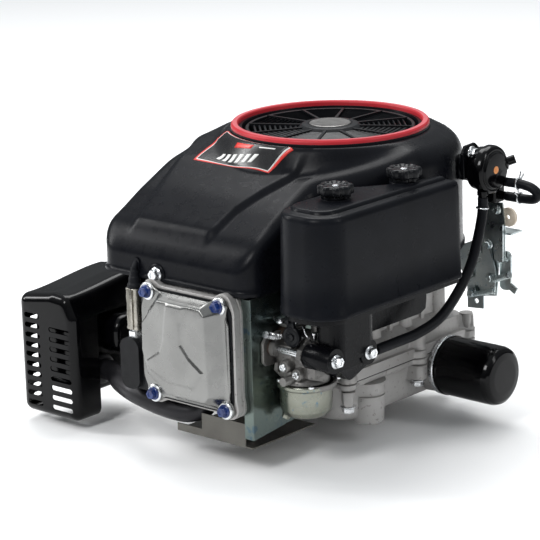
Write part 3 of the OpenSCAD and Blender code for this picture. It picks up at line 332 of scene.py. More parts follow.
class Piece:
    """Collects lofted surfaces in millimetres, and makes one object of them."""

    def __init__(self):
        self.points = []
        self.faces = []
        self.marks = []

    def loft(self, rings, paint=0, start_cap=True, end_cap=True, loop=False):
        """Joins rings of equally many points. With loop the last ring joins the first."""
        rings = [np.asarray(r, float) for r in rings]
        first = len(self.points)
        count = len(rings[0])
        for ring in rings:
            self.points.extend(map(tuple, ring))
        total = len(rings) if loop else len(rings) - 1
        for i in range(total):
            a, b = first + i * count, first + ((i + 1) % len(rings)) * count
            for k in range(count):
                j = (k + 1) % count
                self.faces.append((a + k, a + j, b + j, b + k))
                self.marks.append(paint)
        if start_cap and not loop:
            self.faces.append(tuple(first + k for k in reversed(range(count))))
            self.marks.append(paint)
        if end_cap and not loop:
            last = first + (len(rings) - 1) * count
            self.faces.append(tuple(last + k for k in range(count)))
            self.marks.append(paint)

    def turned(self, profile, place=ORIGIN, axis=UP, sides=48, paint=0, radius=0.0, loop=False):
        """A turned shape: profile is (radius, height along the axis), from one end to the other."""
        if radius:
            profile = soften(profile, radius)
        across = axis_frame(axis)
        angles = circle_angles(sides)
        rings = []
        for r, h in profile:
            rings.append(np.array(place) + circle(r, h, angles) @ across)
        self.loft(rings, paint, loop=loop)

    def tube(self, path, radius, sides=16, paint=0):
        """A round tube along a path; radius is a number or one number for each point."""
        path = np.asarray(path, float)
        radii = np.broadcast_to(radius, (len(path),))
        ahead = np.gradient(path, axis=0)
        ahead /= np.linalg.norm(ahead, axis=1)[:, None]
        side = axis_frame(ahead[0])[0]
        angles = circle_angles(sides)
        rings = []
        for point, direction, r in zip(path, ahead, radii):
            side = side - direction * side.dot(direction)
            side /= np.linalg.norm(side)
            other = np.cross(direction, side)
            rings.append(point + r * (np.outer(np.cos(angles), side) + np.outer(np.sin(angles), other)))
        self.loft(rings, paint)

    def prism(self, outline, low, high, place=ORIGIN, across=None, paint=0, edge=0.0):
        """An outline, as (x, y), pushed from low to high along the third direction of across."""
        outline = np.asarray(outline, float)
        across = np.eye(3) if across is None else across
        centre = outline.mean(0)
        size = np.abs(outline - centre).max()
        levels = [(0, low), (0, high)]
        if edge:
            levels = [(edge, low), (0.0, low + edge), (0.0, high - edge), (edge, high)]
        rings = []
        for inset, height in levels:
            flat = centre + (outline - centre) * (1 - inset / size)
            local = np.column_stack((flat, np.full(len(flat), height)))
            rings.append(np.array(place) + local @ across)
        self.loft(rings, paint)

    def flange_bolt(self, place, axis, size=6.5, height=8.0, washer=0, head=0):
        """A flange bolt's head: a dished washer face, then a hexagon with a turned crown."""
        self.turned([(0.1, 0), (size * 1.3, 0), (size * 1.3, height * 0.14), (size * 1.05, height * 0.30),
                     (0.1, height * 0.32)], place, axis, 32, washer, 0.4)
        across = axis_frame(axis)
        corners = np.array([(math.cos(a), math.sin(a)) for a in circle_angles(6)])
        rings = []
        for scale, level in ((1.0, 0.26), (1.0, 0.86), (0.90, 1.0), (0.52, 1.0), (0.46, 0.90)):
            flat = corners * size * scale
            rings.append(np.array(place) + np.column_stack((flat, np.full(6, height * level))) @ across)
        self.loft(rings, head)

    def spring(self, start, end, radius, wire, turns, paint=0):
        """A coil of wire from start to end."""
        start, end = np.array(start, float), np.array(end, float)
        across = axis_frame(end - start)
        count = int(turns * 14)
        t = np.linspace(0, 1, count)
        angle = t * turns * 2 * math.pi
        path = start + np.outer(t, end - start) + radius * (
            np.outer(np.cos(angle), across[0]) + np.outer(np.sin(angle), across[1]))
        self.tube(path, wire, 8, paint)

    def object(self, name, body, slot, paints, replaces=(), angle=32.0, solid=0.0):
        """Makes the object. paints are keys of PAINTS, edges above angle stay sharp, solid is a wall."""
        mesh = bpy.data.meshes.new(name)
        mesh.from_pydata([tuple(c * MM for c in p) for p in self.points], [], self.faces)
        for paint in paints:
            mesh.materials.append(PAINTS[paint])
        mesh.polygons.foreach_set("material_index", self.marks)
        cleaner = bmesh.new()
        cleaner.from_mesh(mesh)
        bmesh.ops.remove_doubles(cleaner, verts=cleaner.verts, dist=1e-6)
        bmesh.ops.recalc_face_normals(cleaner, faces=cleaner.faces)
        cleaner.to_mesh(mesh)
        cleaner.free()
        mesh.shade_smooth()
        mesh.set_sharp_from_angle(angle=math.radians(angle))
        piece = bpy.data.objects.new(name, mesh)
        bpy.context.scene.collection.objects.link(piece)
        if solid:
            shell = piece.modifiers.new("wall", "SOLIDIFY")
            shell.thickness = solid * MM
            shell.offset = -1.0
        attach(piece, body)
        if replaces:
            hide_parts(*replaces)
        return piece


def ring_along(sdf, centre, inset, angles, reach=600.0):
    """Where rays from a centre cross the outline of a distance field, drawn in by inset."""
    low = np.zeros(len(angles))
    high = np.full(len(angles), reach)
    c, s = np.cos(angles), np.sin(angles)
    for _ in range(44):
        middle = (low + high) / 2
        inside = sdf(centre[0] + middle * c, centre[1] + middle * s) < -inset
        low = np.where(inside, middle, low)
        high = np.where(inside, high, middle)
    return np.column_stack((centre[0] + low * c, centre[1] + low * s))


def even_angles(sdf, centre, count):
    """Angles that space points evenly round an outline."""
    fine = np.linspace(0, 2 * math.pi, 2881)
    loop = ring_along(sdf, centre, 0.0, fine)
    walked = np.concatenate(([0], np.cumsum(np.linalg.norm(np.diff(loop, axis=0), axis=1))))
    return np.interp(np.linspace(0, walked[-1], count, endpoint=False), walked, fine)


def contour(field, inset, height, angles, centre=(0.0, 0.0), order=(0, 1, 2), shift=ORIGIN, reach=600.0):
    """A ring of a lofted shape: a field's outline, drawn in by inset, at a height. order says which of the
    outline's two directions and the height lie along X, Y and Z."""
    loop = ring_along(field, centre, inset, angles, reach)
    return np.column_stack((loop, np.full(len(loop), float(height))))[:, order] + shift


def box_field(x, y, x0, x1, y0, y1, radius):
    """Distance to a rectangle with round corners, negative inside."""
    dx = np.abs(x - (x0 + x1) / 2) - (x1 - x0) / 2 + radius
    dy = np.abs(y - (y0 + y1) / 2) - (y1 - y0) / 2 + radius
    return np.hypot(np.maximum(dx, 0), np.maximum(dy, 0)) + np.minimum(np.maximum(dx, dy), 0) - radius


def poly_field(x, y, points):
    """Distance to a closed polygon, negative inside."""
    x, y = np.asarray(x, float), np.asarray(y, float)
    distance = np.full(np.shape(x), 1e9)
    inside = np.zeros(np.shape(x), bool)
    for (ax, ay), (bx, by) in zip(points, points[1:] + points[:1]):
        ex, ey = bx - ax, by - ay
        t = np.clip(((x - ax) * ex + (y - ay) * ey) / (ex * ex + ey * ey), 0, 1)
        distance = np.minimum(distance, np.hypot(x - ax - t * ex, y - ay - t * ey))
        if ey:
            inside ^= ((ay > y) != (by > y)) & (x < ex * (y - ay) / ey + ax)
    return np.where(inside, -distance, distance)


def blend_min(a, b, k):
    """Joins two distance fields, with a fillet of about k."""
    h = np.clip(0.5 + 0.5 * (b - a) / k, 0, 1)
    return b + (a - b) * h - k * h * (1 - h)


def step(value):
    """A smooth step from 0 to 1."""
    value = np.clip(value, 0, 1)
    return value * value * (3 - 2 * value)


def smooth_path(points, steps=8):
    """A Catmull-Rom curve through points."""
    p = [np.array(v, float) for v in points]
    result = []
    for i in range(len(p) - 1):
        a, b, c, d = p[max(i - 1, 0)], p[i], p[i + 1], p[min(i + 2, len(p) - 1)]
        for k in range(steps):
            t = k / steps
            result.append(0.5 * (2 * b + (c - a) * t + (2 * a - 5 * b + 4 * c - d) * t * t
                                 + (3 * b - a - 3 * c + d) * t ** 3))
    result.append(p[-1])
    return result


def cut(piece, cutter):
    """Cuts a piece with a closed mesh, and leaves only the result."""
    tool = bpy.data.objects.new("cutter", bpy.data.meshes.new("cutter"))
    tool.data.from_pydata([tuple(c * MM for c in p) for p in cutter.points], [], cutter.faces)
    bpy.context.scene.collection.objects.link(tool)
    modifier = piece.modifiers.new("cut", "BOOLEAN")
    modifier.object = tool
    modifier.operation = "DIFFERENCE"
    modifier.solver = "EXACT"
    depsgraph = bpy.context.evaluated_depsgraph_get()
    result = bpy.data.meshes.new_from_object(piece.evaluated_get(depsgraph))
    piece.modifiers.clear()
    piece.data = result
    result.shade_smooth()
    result.set_sharp_from_angle(angle=math.radians(32))
    bpy.data.objects.remove(tool)


def finish_cad(node, paint, edge):
    """Keeps a CAD node's shape, rounds its edges by edge and gives it a finish."""
    piece = nodes[node]
    piece.data.materials.clear()
    piece.data.materials.append(PAINTS[paint])
    if edge:
        piece.modifiers.new("weld", "WELD").merge_threshold = 0.02 * MM
        bevel = piece.modifiers.new("edges", "BEVEL")
        bevel.width = edge * MM
        bevel.segments = 2
        bevel.limit_method = "ANGLE"
        bevel.angle_limit = math.radians(32)
        bevel.use_clamp_overlap = True
        bevel.harden_normals = True


# ---------- blower housing ----------

# The housing is a drum of this radius joined to a snout, given as x and y limits, over the cylinder.
HOUSING_R = 154.0
FRONT_BOLT = (-53, -246.6, 189)
SNOUT = (-147.0, 85.0, -245.0, 120.0)
# The trim ring, and the collar that carries it.
RING_OUT, RING_IN, RING_TOP, COLLAR_TOP = 116.0, 103.0, 330.0, 322.0
# The top's line seen from the side, and the creases (y, x) that bound its middle panel.
SIDE_Y = np.array([-262, -246, -229, -178, -126, -73, -20, 160.0])
SIDE_Z = np.array([208, 217, 241, 271, 297, 311, 317, 317.0])
CREASE_LEFT = ([-229, -195, -151, -110, -60], [-104, -108, -117, -126, -150])
CREASE_RIGHT = ([-229, -220, -190, -159, -131, -91, -58], [10, 15, 19, 33, 50, 62, 84])


def housing_field(x, y):
    drum = np.hypot(x, y) - HOUSING_R
    snout = box_field(x, y, *SNOUT, 26.0)
    return blend_min(drum, snout, 10.0)


SMOOTH_Y = np.linspace(-270, 160, 431)
SMOOTH_Z = np.convolve(np.interp(np.linspace(-280, 170, 451), SIDE_Y, SIDE_Z), np.ones(21) / 21, "valid")


def housing_top(x, y):
    """Height of the housing's top skin, before its outer edge is rounded."""
    height = np.interp(y, SMOOTH_Y, SMOOTH_Z)
    left = np.interp(y, *CREASE_LEFT)
    right = np.interp(y, *CREASE_RIGHT)
    panel = step((right - x) / 9 + 0.5) * step((x - left) / 9 + 0.5) * step((y + 232) / 8)
    fade = step((-y - 20) / 60)
    height = height - 6.0 * (1 - panel) * fade
    return height


def housing_skin(x, y):
    """Height of the finished skin: edge rounded, and a collar rising to the ring."""
    depth = -housing_field(x, y)
    radius = np.interp(y, [-245, -200, -100, 0, 154], [9, 14, 18, 26, 30])
    rounded = radius ** 2 - (radius - np.minimum(depth, radius)) ** 2
    drop = np.where(depth < radius, radius - np.sqrt(np.maximum(rounded, 0)), 0)
    height = housing_top(x, y) - drop
    r = np.hypot(x, y)
    rise = step((139 - r) / 20) ** 1.5
    return height + (COLLAR_TOP - height) * rise


def build_housing():
    """The blower housing: a skirt, a rounded shoulder, a sloping snout and a collar up to the ring."""
    piece = Piece()
    centre = (0.0, 0.0)
    angles = even_angles(housing_field, centre, 400)
    outline = ring_along(housing_field, centre, 0.0, angles)
    reach = np.hypot(outline[:, 0], outline[:, 1])
    base = 181.0
    edge = housing_skin(outline[:, 0], outline[:, 1])

    def on_skin(radii):
        flat = outline * (radii / reach)[:, None]
        return np.column_stack((flat, housing_skin(flat[:, 0], flat[:, 1])))

    rings = []
    for out, z in ((1.6, base), (2.4, base + 1.2), (2.4, base + 4.0), (1.0, base + 5.2), (0.2, base + 7)):
        flat = outline * ((reach + out) / reach)[:, None]
        rings.append(np.column_stack((flat, np.full(len(angles), z))))
    for t in (0.15, 0.35, 0.6, 0.8, 0.92):
        rings.append(np.column_stack((outline, base + 7 + (edge - base - 7) * t)))
    for f in 1 - np.cos(np.linspace(0, math.pi / 2, 10)):
        rings.append(on_skin(reach - f * 26))
    collar = 141.0
    for t in np.linspace(0.06, 1.0, 26):
        rings.append(on_skin((reach - 26) * (1 - t) + np.minimum(collar, reach - 27) * t))
    for t in np.linspace(0.1, 1.0, 12):
        rings.append(on_skin(np.minimum(collar, reach - 27) * (1 - t) + 118.0 * t))
    for r, z in ((116.5, COLLAR_TOP), (104.0, COLLAR_TOP), (103.2, COLLAR_TOP - 0.8), (103.0, 300.0)):
        rings.append(np.column_stack((outline * (r / reach)[:, None], np.full(len(angles), z))))
    piece.loft(rings, start_cap=False, end_cap=False)
    shell = piece.object("blower_housing_shell", "block", "housing_black", ["housing"], ["blower_housing"],
                         angle=40, solid=2.6)
    cutter = Piece()
    across, along = np.cos(circle_angles(24)), np.sin(circle_angles(24))
    oval = np.column_stack((across * 8, along * 8 + np.sign(along) * 8))
    cutter.prism(oval * 0.5, -14, 14, (-84, -246, 194), FACING_FRONT)
    cut(shell, cutter)
    detail = Piece()
    x, y, z = FRONT_BOLT
    detail.turned([(0.5, 0), (12.5, 0), (12.5, 2.6), (10.5, 4.0), (9.6, 3.0), (0.5, 2.8)], (x, y + 3.1, z),
                  (0, -1, 0), 40, 0, 0.6)
    detail.turned([(15, 120), (15, 145), (13, 147), (0.5, 147)], (0, 70, 278), RIGHT, 40, 0, 0.8)
    detail.prism(oval * 0.62, -1, 12, (-84, -246, 194), -FACING_FRONT)
    detail.object("housing_bosses", "block", "housing_black", ["housing"])


def build_ring():
    ring = Piece()
    top, inner, outer = RING_TOP, RING_IN + 4.4, RING_OUT
    inside = soften([(inner, top - 5.5), (inner + 0.2, top - 1.6), (inner + 1.6, top)], 0.8)
    face = [(inner + 1.6, top), (outer - 1.8, top)]
    outside = soften([(outer - 1.8, top), (outer, top - 2.0), (outer + 0.2, top - 5.0)], 0.8)
    under = [(outer + 0.2, top - 5.0), (outer + 0.9, top - 5.4), (outer + 1.2, COLLAR_TOP - 1),
             (RING_IN - 1, 318), (RING_IN + 0.4, top - 5.0), (inner, top - 5.5)]
    angles = circle_angles(180)
    for profile, paint in ((inside, 0), (face, 1), (outside, 0), (under, 2)):
        ring.loft([circle(r, z, angles) for r, z in profile], paint, False, False)
    ring.object("trim_ring", "block", "ring_red", ["ring", "ring_face", "housing"], ["ring_trim"], angle=40)


def build_screen():
    arms = 12
    screen = Piece()
    screen.turned([(95.5, 313), (100, 313), (100, 322), (98.5, 323.5), (95.5, 323)], sides=120, radius=0.5,
                  loop=True)
    corner_angles = circle_angles(arms)
    for r in np.arange(41.0, 95.0, 6.2):
        section = ((-1.0, 316), (1.0, 316), (1.4, 321.8), (-0.6, 322.6))
        screen.loft([circle(r + dr, z, corner_angles) for dr, z in section], loop=True)
    for a in corner_angles:
        across = turned_frame(a)
        outline = [(30, -1.9), (97, -1.1), (97, 1.1), (30, 1.9)]
        screen.prism(outline, 313.5, 324.0, ORIGIN, across, edge=0.5)
    screen.turned([(0.5, 306), (36, 306), (38, 314), (38, 321), (33, 325.6), (26.5, 326.4), (25.2, 325),
                   (0.5, 324.8)], sides=72, radius=1.0)
    for k in range(4):
        a = math.radians(10 + 90 * k)
        screen.turned(rod(6, 305.4, 313), (44 * math.cos(a), 44 * math.sin(a), 0),
                      sides=20, radius=0.4)
    screen.object("screen_web", "crank", "screen_black", ["screen"], ["debris_screen"], angle=30)
    cap = Piece()
    cap.turned([(0.5, 324.6), (24.4, 324.6), (24.4, 326.2), (23.4, 326.8), (21.5, 326.5), (0.5, 327.0)],
               sides=64)
    cap.object("hub_disc", "crank", "hub_silver", ["hub"], ["screen_hub_cap"])


# The badge's upper and lower edges, each from left to right.
BADGE_TOP = ((-102, -84), (42, -115))
BADGE_LOW = ((-97, -132), (20, -134))


def badge_point(u, v, lift):
    """A place on the badge, u across and v down, laid on the housing's skin outside the ring's collar."""
    top = np.array(BADGE_TOP[0]) * (1 - u) + np.array(BADGE_TOP[1]) * u
    top *= max(1.0, 119.0 / np.hypot(*top))
    x, y = top * (1 - v) + (np.array(BADGE_LOW[0]) * (1 - u) + np.array(BADGE_LOW[1]) * u) * v
    return x, y, float(housing_skin(np.array([x]), np.array([y]))[0]) + lift


def badge_patch(badge, corners, lift, paint, nu=24, nv=12):
    """A four-cornered patch of the badge, its corners given as (u, v) in order round it."""
    a, b, c, d = (np.array(corner, float) for corner in corners)
    first = len(badge.points)
    for j in range(nv + 1):
        for i in range(nu + 1):
            s, t = i / nu, j / nv
            place = (a * (1 - s) + b * s) * (1 - t) + (d * (1 - s) + c * s) * t
            badge.points.append(badge_point(place[0], place[1], lift))
    for j in range(nv):
        for i in range(nu):
            k = first + j * (nu + 1) + i
            badge.faces.append((k, k + nu + 1, k + nu + 2, k + 1))
            badge.marks.append(paint)


def frame_corners(edge_u, edge_v):
    return ((edge_u, edge_v), (1 - edge_u, edge_v), (1 - edge_u, 1 - edge_v), (edge_u, 1 - edge_v))


def build_label():
    """A plain badge on the sloping top: a black field with a white line, a red border and slanted bars."""
    badge = Piece()
    badge_patch(badge, frame_corners(0, 0), 0.30, 1, 60, 30)
    badge_patch(badge, frame_corners(0.022, 0.04), 0.50, 2, 60, 30)
    badge_patch(badge, frame_corners(0.034, 0.065), 0.70, 0, 60, 30)
    for k in range(6):
        u = 0.24 + 0.085 * k
        badge_patch(badge, ((u + 0.05, 0.52), (u + 0.10, 0.52), (u + 0.06, 0.78), (u + 0.01, 0.78)), 0.90,
                    2, 3, 8)
    badge_patch(badge, ((0.46, 0.22), (0.66, 0.22), (0.64, 0.36), (0.44, 0.36)), 0.90, 1, 8, 4)
    badge_patch(badge, ((0.72, 0.26), (0.88, 0.26), (0.88, 0.31), (0.72, 0.31)), 0.90, 2, 8, 3)
    badge.object("badge", "block", "housing_black", ["label_black", "label_red", "label_white"], solid=0.15)


# ---------- air cleaner ----------

def cleaner_field(x, y):
    shape = box_field(x, y, 110.0, 198.0, -245.0, -5.0, 36.0)
    square_end = box_field(x, y, 112.0, 198.0, -140.0, -5.0, 7.0)
    shape = np.minimum(shape, square_end)
    return np.maximum(shape, 160.0 - np.hypot(x, y))


KNOBS = ((150, -172), (161, -66))


def build_cleaner():
    centre = (170.0, -150.0)
    angles = even_angles(cleaner_field, centre, 320)
    levels = [(3.2, 172.0), (0.8, 172.0), (0.0, 172.8), (0.0, 177.0), (0.8, 178.2), (1.6, 215.0),
              (2.4, 250.0), (3.2, 277.0), (3.6, 280.0), (4.6, 282.6), (6.4, 284.4), (8.8, 285.0),
              (13.0, 285.6), (14.2, 286.2), (15.2, 288.6), (16.4, 289.8), (18.5, 290.2), (22.0, 290.4),
              (26.0, 290.5)]
    cover = Piece()
    cover.loft([contour(cleaner_field, inset, z, angles, centre) for inset, z in levels], start_cap=False)
    cover.object("cleaner_cover_shell", "cleaner_cover", "cleaner_black", ["cleaner"], ["air_cleaner_cover"],
                 angle=40)
    seats = Piece()
    for x, y in KNOBS:
        seats.turned([(0.5, 284), (16.5, 284), (16.5, 290.6), (15, 291.4), (0.5, 291.4)], (x, y, 0),
                     sides=48, radius=0.8)
    seats.object("knob_seats", "cleaner_cover", "cleaner_black", ["cleaner"])


def knob_field(x, y):
    r = np.hypot(x, y)
    a = np.arctan2(y, x)
    return r - (18.7 + 1.35 * np.clip(1.4 * np.cos(8 * a), -1, 1))


def build_knobs():
    angles = circle_angles(192)
    levels = [(5.0, 291.6), (3.6, 292.0), (3.4, 295.0), (0.5, 296.4), (0.0, 297.4), (0.0, 303.6),
              (0.5, 305.2), (1.6, 306.2), (3.2, 306.6), (5.0, 306.4), (6.2, 305.2), (7.6, 304.8),
              (11.0, 304.9)]
    for end, (x, y) in zip(("front", "rear"), KNOBS):
        knob = Piece()
        knob.loft([contour(knob_field, inset, z, angles, shift=(x, y, 0), reach=60.0)
                   for inset, z in levels])
        knob.object(f"{end}_grip", f"{end}_knob_body", "knob_black", ["knob"], [f"{end}_knob"], angle=45)


# ---------- valve cover and head ----------

# Places on the head are x, and z from the cylinder's axis. The cover seats at COVER_Y.
COVER_BOLTS = ((-54, 60), (54, 60), (60, -59), (-48, -59))
CYL_Z = 113.0
COVER_Y = -257.0


def cover_field(x, z):
    shape = box_field(x, z, -65.0, 66.0, -61.0, 62.0, 26.0)
    for bx, bz in COVER_BOLTS:
        shape = blend_min(shape, np.hypot(x - bx, z - bz) - 10.5, 8.0)
    return shape


# Outlines that the cover's dome and its raised panel are rounded off from.
DOME_CORE = [(-44, 29), (-21, 57), (42, 57), (48, 51), (51, -41), (46, -47), (-10, -47), (-38, -27),
             (-45, -2)]
TIE = [(-6, 62), (-11, 14), (-17, 0), (-39, -14), (-33, -23), (-6, -33), (32, -33), (46, -14), (27, 0),
       (15, 14), (14, 40), (22, 62)]


def cover_depth(x, z):
    """How far the cover's skin stands in front of its flange: a steep-sided dome with a raised panel, narrow
    at its waist and wide at its foot."""
    inside = 6.0 - poly_field(x, z, DOME_CORE)
    t = (inside + 4.5) / 9.0
    wall = 19.4 * np.clip((np.sqrt(t * t + 0.008) - np.sqrt((t - 1) ** 2 + 0.008) + 1) / 2, 0, 1)
    lip = 0.9 * step((inside + 7.5) / 2.5)
    crown = 2.4 * (1 - (1 - np.clip((inside - 2) / 46, 0, 1)) ** 2)
    panel = 1.3 * step((2.4 - poly_field(x, z, TIE)) / 4.8) * step((inside - 4) / 4)
    return wall + lip + crown + panel


def build_valve_cover():
    cover = Piece()
    angles = even_angles(cover_field, (0.0, 0.0), 440)
    rim = ring_along(cover_field, (0.0, 0.0), 0.7, angles)

    def skin(t, behind):
        loop = rim * t
        depth = cover_depth(loop[:, 0], loop[:, 1])
        return np.column_stack((loop[:, 0], COVER_Y - 3.7 - depth + behind, loop[:, 1] + CYL_Z))

    rings = [skin(t, 2.2) for t in np.linspace(0.02, 0.93, 60)]
    rings.append(np.column_stack((rim[:, 0] * 0.93, np.full(len(rim), COVER_Y), rim[:, 1] * 0.93 + CYL_Z)))
    rings += [contour(cover_field, inset, COVER_Y - drop, angles, order=UPRIGHT, shift=(0, 0, CYL_Z))
              for inset, drop in ((0.6, 0.0), (0.0, 0.6), (0.0, 3.0), (0.7, 3.7))]
    rings += [skin(t, 0.0) for t in np.concatenate((np.linspace(0.99, 0.66, 50),
                                                    np.linspace(0.65, 0.02, 44)))]
    cover.loft(rings)
    cover.object("valve_cover_pressing", "block", "pressed_cover", ["cover"], ["valve_cover"], angle=60)
    bolts = Piece()
    for bx, bz in COVER_BOLTS:
        place = (bx, COVER_Y - 3.8, CYL_Z + bz)
        bolts.turned([(0.5, 0), (10.2, 0), (10.2, 1.6), (8.6, 2.6), (0.5, 2.8)], place, FRONT, 36, 0, 0.4)
        bolts.flange_bolt((bx, COVER_Y - 6.4, CYL_Z + bz), FRONT, 6.0, 7.0, 1, 1)
    bolts.object("valve_cover_screws", "block", "blue_bolts", ["bolt", "blue"], ["valve_cover_bolts"],
                 angle=28)


# ---------- muffler ----------

GUARD_CORE = [(-266, -2), (-266, 121), (-222, 128), (-205, 127), (-196, 110), (-196, -2)]


def guard_field(x, z):
    return poly_field(x, z, GUARD_CORE) - 12.0


def can_field(y, z):
    return box_field(y, z, -240, -124, 12, 118, 26)


def dome_field(y, z):
    return box_field(y, z, -200, -124, 58, 106, 20)


def slot_outline(length, height):
    angles = circle_angles(20)
    half = max(length - height, 0.1) / 2
    return np.column_stack((np.cos(angles) * height / 2 + np.sign(np.cos(angles)) * half,
                            np.sin(angles) * height / 2))


def rounded_end(radius, steps=7):
    """Insets and distances that turn the edge of a face with a quarter circle."""
    return [(radius * (1 - math.sin(t)), radius * (1 - math.cos(t)))
            for t in np.linspace(0, math.pi / 2, steps)]


def build_muffler():
    centre = (-231.0, 60.0)
    angles = even_angles(guard_field, centre, 180)
    guard = Piece()
    rings = []
    levels = [(inset, -254 + back) for inset, back in rounded_end(12.0)]
    levels += [(0.0, y) for y in (-232, -220, -205, -190, -175, -160, -145, -132, -122)]
    for inset, y in levels:
        loop = ring_along(guard_field, centre, inset, angles)
        rise = 10.0 * step((y + 240) / 118) * np.clip((loop[:, 1] - 70) / 60, 0, 1)
        rings.append(np.column_stack((loop[:, 0], np.full(len(loop), float(y)), loop[:, 1] + rise)))
    guard.loft(rings, end_cap=False)
    shell = guard.object("muffler_guard_sheet", "block", "guard_black", ["gloss"], ["muffler_guard"],
                         angle=40, solid=1.6)
    cutter = Piece()
    for i in range(10):
        z = 0 + i * 12.0
        cutter.prism(slot_outline(25, 6.4), -18, 12, (-254, -254, z), FACING_FRONT)
        if z < 108:
            cutter.prism(slot_outline(34, 6.4), -12, 12, (-209, -254, z), FACING_FRONT)
            cutter.prism(slot_outline(14, 6.0), -6, 8, (-278, -229, z), FACING_SIDE)
    cutter.prism([(-300, -40), (-170, -40), (-170, 112), (-300, 112)], 100, 214, ORIGIN, FACING_FRONT)
    cutter.prism([(-262, -40), (-196, -40), (-196, -6), (-262, -6)], 214.5, 240, ORIGIN, FACING_FRONT)
    cut(shell, cutter)
    can = Piece()
    side = even_angles(can_field, (-182, 65), 120)
    ends = rounded_end(8.0, 5)
    ends += [(0.0, 35.0)] + [(i, 70 - k) for i, k in reversed(ends)]
    can.loft([contour(can_field, inset, -266 + back, side, (-182, 65), SIDEWAYS) for inset, back in ends])
    dome = ((0, -200), (0, -176), (0, -172), (1.2, -168.5), (4, -166.4), (8, -166))
    can.loft([contour(dome_field, inset, x, side, (-162, 82), SIDEWAYS) for inset, x in dome])
    can.object("muffler_can", "block", "exhaust_black", ["gloss"], ["muffler_body"], angle=40)
    extras = Piece()
    extras.turned([(15, 0), (18, 2), (18, 5), (15, 6), (13, 6)], (-196, -200, 40), RIGHT, 36, 0, 0.8)
    extras.turned([(0.5, 0), (9, 0), (9, 5), (6.5, 5), (6.5, 2), (0.5, 2)], (-170, -160, 84), RIGHT, 32, 0,
                  0.5)
    extras.prism([(-184, 78), (-148, 78), (-146, 96), (-184, 98)], 124, 128, ORIGIN, FACING_FRONT, edge=0.8)
    extras.flange_bolt((-158, -128.2, 87), FRONT, 5.5, 6)
    extras.object("muffler_ports", "block", "exhaust_black", ["exhaust"])
    route = [(-4, -222, 41), (-10, -226, 33), (-28, -235, 29), (-60, -240, 32), (-102, -238, 38),
             (-140, -222, 39), (-165, -206, 40), (-183, -200, 40), (-196, -200, 40)]
    pipe = Piece()
    pipe.tube(smooth_path(route, 6), 12.5, 32)
    pipe.prism([(-44, -236), (-38, -242), (24, -242), (30, -236), (30, -212), (24, -206), (-38, -206),
                (-44, -212)], 41.2, 49, edge=0.8)
    pipe.object("exhaust_pipe_bent", "block", "exhaust_black", ["exhaust"], ["exhaust_pipe"], angle=50)


# ---------- spark plug lead, hoses ----------

def build_plug():
    boot = Piece()
    x, y = -84, -250
    angles = circle_angles(64)
    sleeve = ((1.2, 121), (0.4, 121.4), (0.0, 123), (0.6, 126), (0.2, 138), (0.8, 150), (0.1, 160),
              (0.7, 166), (0.0, 169), (0.8, 170))
    boot.loft([contour(lambda u, v: box_field(u, v, -9.5, 9.5, -8.5, 8.5, 4.5), inset, z, angles,
                       shift=(x, y, 0), reach=30.0) for inset, z in sleeve])
    boot.prism([(-1.5, -1.2), (1.5, -1.2), (1.5, 1.2), (-1.5, 1.2)], 122, 169, (x + 2, y - 8.6, 0), edge=0.3)
    boot.turned([(8.4, 169.5), (8.8, 171), (8.6, 174), (7.0, 176), (6.6, 182), (5.4, 184), (5.0, 189),
                 (4.0, 191), (3.6, 194)], (x, y, 0), sides=32, paint=1, radius=0.6)
    lead = [(-84, -250, 189), (-84, -249, 194), (-85, -243, 200), (-88, -230, 208), (-94, -210, 216),
            (-100, -190, 222), (-106, -150, 226), (-112, -100, 226), (-118, -62, 226)]
    boot.tube(smooth_path(lead, 6), 3.5, 14, 1)
    boot.object("plug_boot", "block", "boot_sleeve", ["sleeve", "rubber"], ["spark_plug_boot"], angle=40)


# Centre lines of the two hoses, each held at both ends.
FUEL_ROUTE = [(180, 55, 250), (180, 54, 232), (181, 44, 205), (181, 30, 176), (181, 4, 148), (180, -28, 126),
              (174, -60, 115), (168, -90, 111), (166, -127, 110)]
PUMP_ROUTE = [(190, 92, 262), (204, 93, 262), (219, 95, 259), (227, 97, 252), (221, 99, 245),
              (206, 100, 243), (181, 100, 243)]


def wire_clamp(piece, place, axis, radius, tail):
    """A spring band of wire round a hose, with its two ears."""
    across = axis_frame(axis)
    angles = np.linspace(0.25, 2 * math.pi - 0.25, 40) + tail
    loop = np.array(place) + radius * (np.outer(np.cos(angles), across[0]) + np.outer(np.sin(angles),
                                                                                      across[1]))
    piece.tube(loop, 1.0, 10)
    for end, inner in ((loop[0], loop[1]), (loop[-1], loop[-2])):
        out = end - np.array(place)
        out /= np.linalg.norm(out)
        piece.tube(smooth_path([inner, end, end + out * 4, end + out * 8], 4), 1.0, 10)


def build_hoses():
    hose = Piece()
    hose.tube(smooth_path(FUEL_ROUTE, 8), 6.0, 24)
    hose.object("breather_hose", "block", "hose_rubber", ["rubber"], ["fuel_hose"], angle=50)
    loop = Piece()
    loop.tube(smooth_path(PUMP_ROUTE, 8), 5.5, 24)
    loop.object("pump_hose_loop", "block", "hose_rubber", ["rubber"], ["pump_hose"], angle=50)
    clamps = Piece()
    wire_clamp(clamps, (180, 54.3, 238), (0, 0.1, 1), 6.9, 3.6)
    wire_clamp(clamps, (203, 93, 262), RIGHT, 6.4, 1.0)
    wire_clamp(clamps, (200, 100, 243), RIGHT, 6.4, 2.2)
    clamps.object("hose_bands", "block", "steel_bright", ["bolt"], ["hose_clamps"])


# ---------- oil filter and fuel pump ----------

FILTER_Y, FILTER_Z = 62, 37


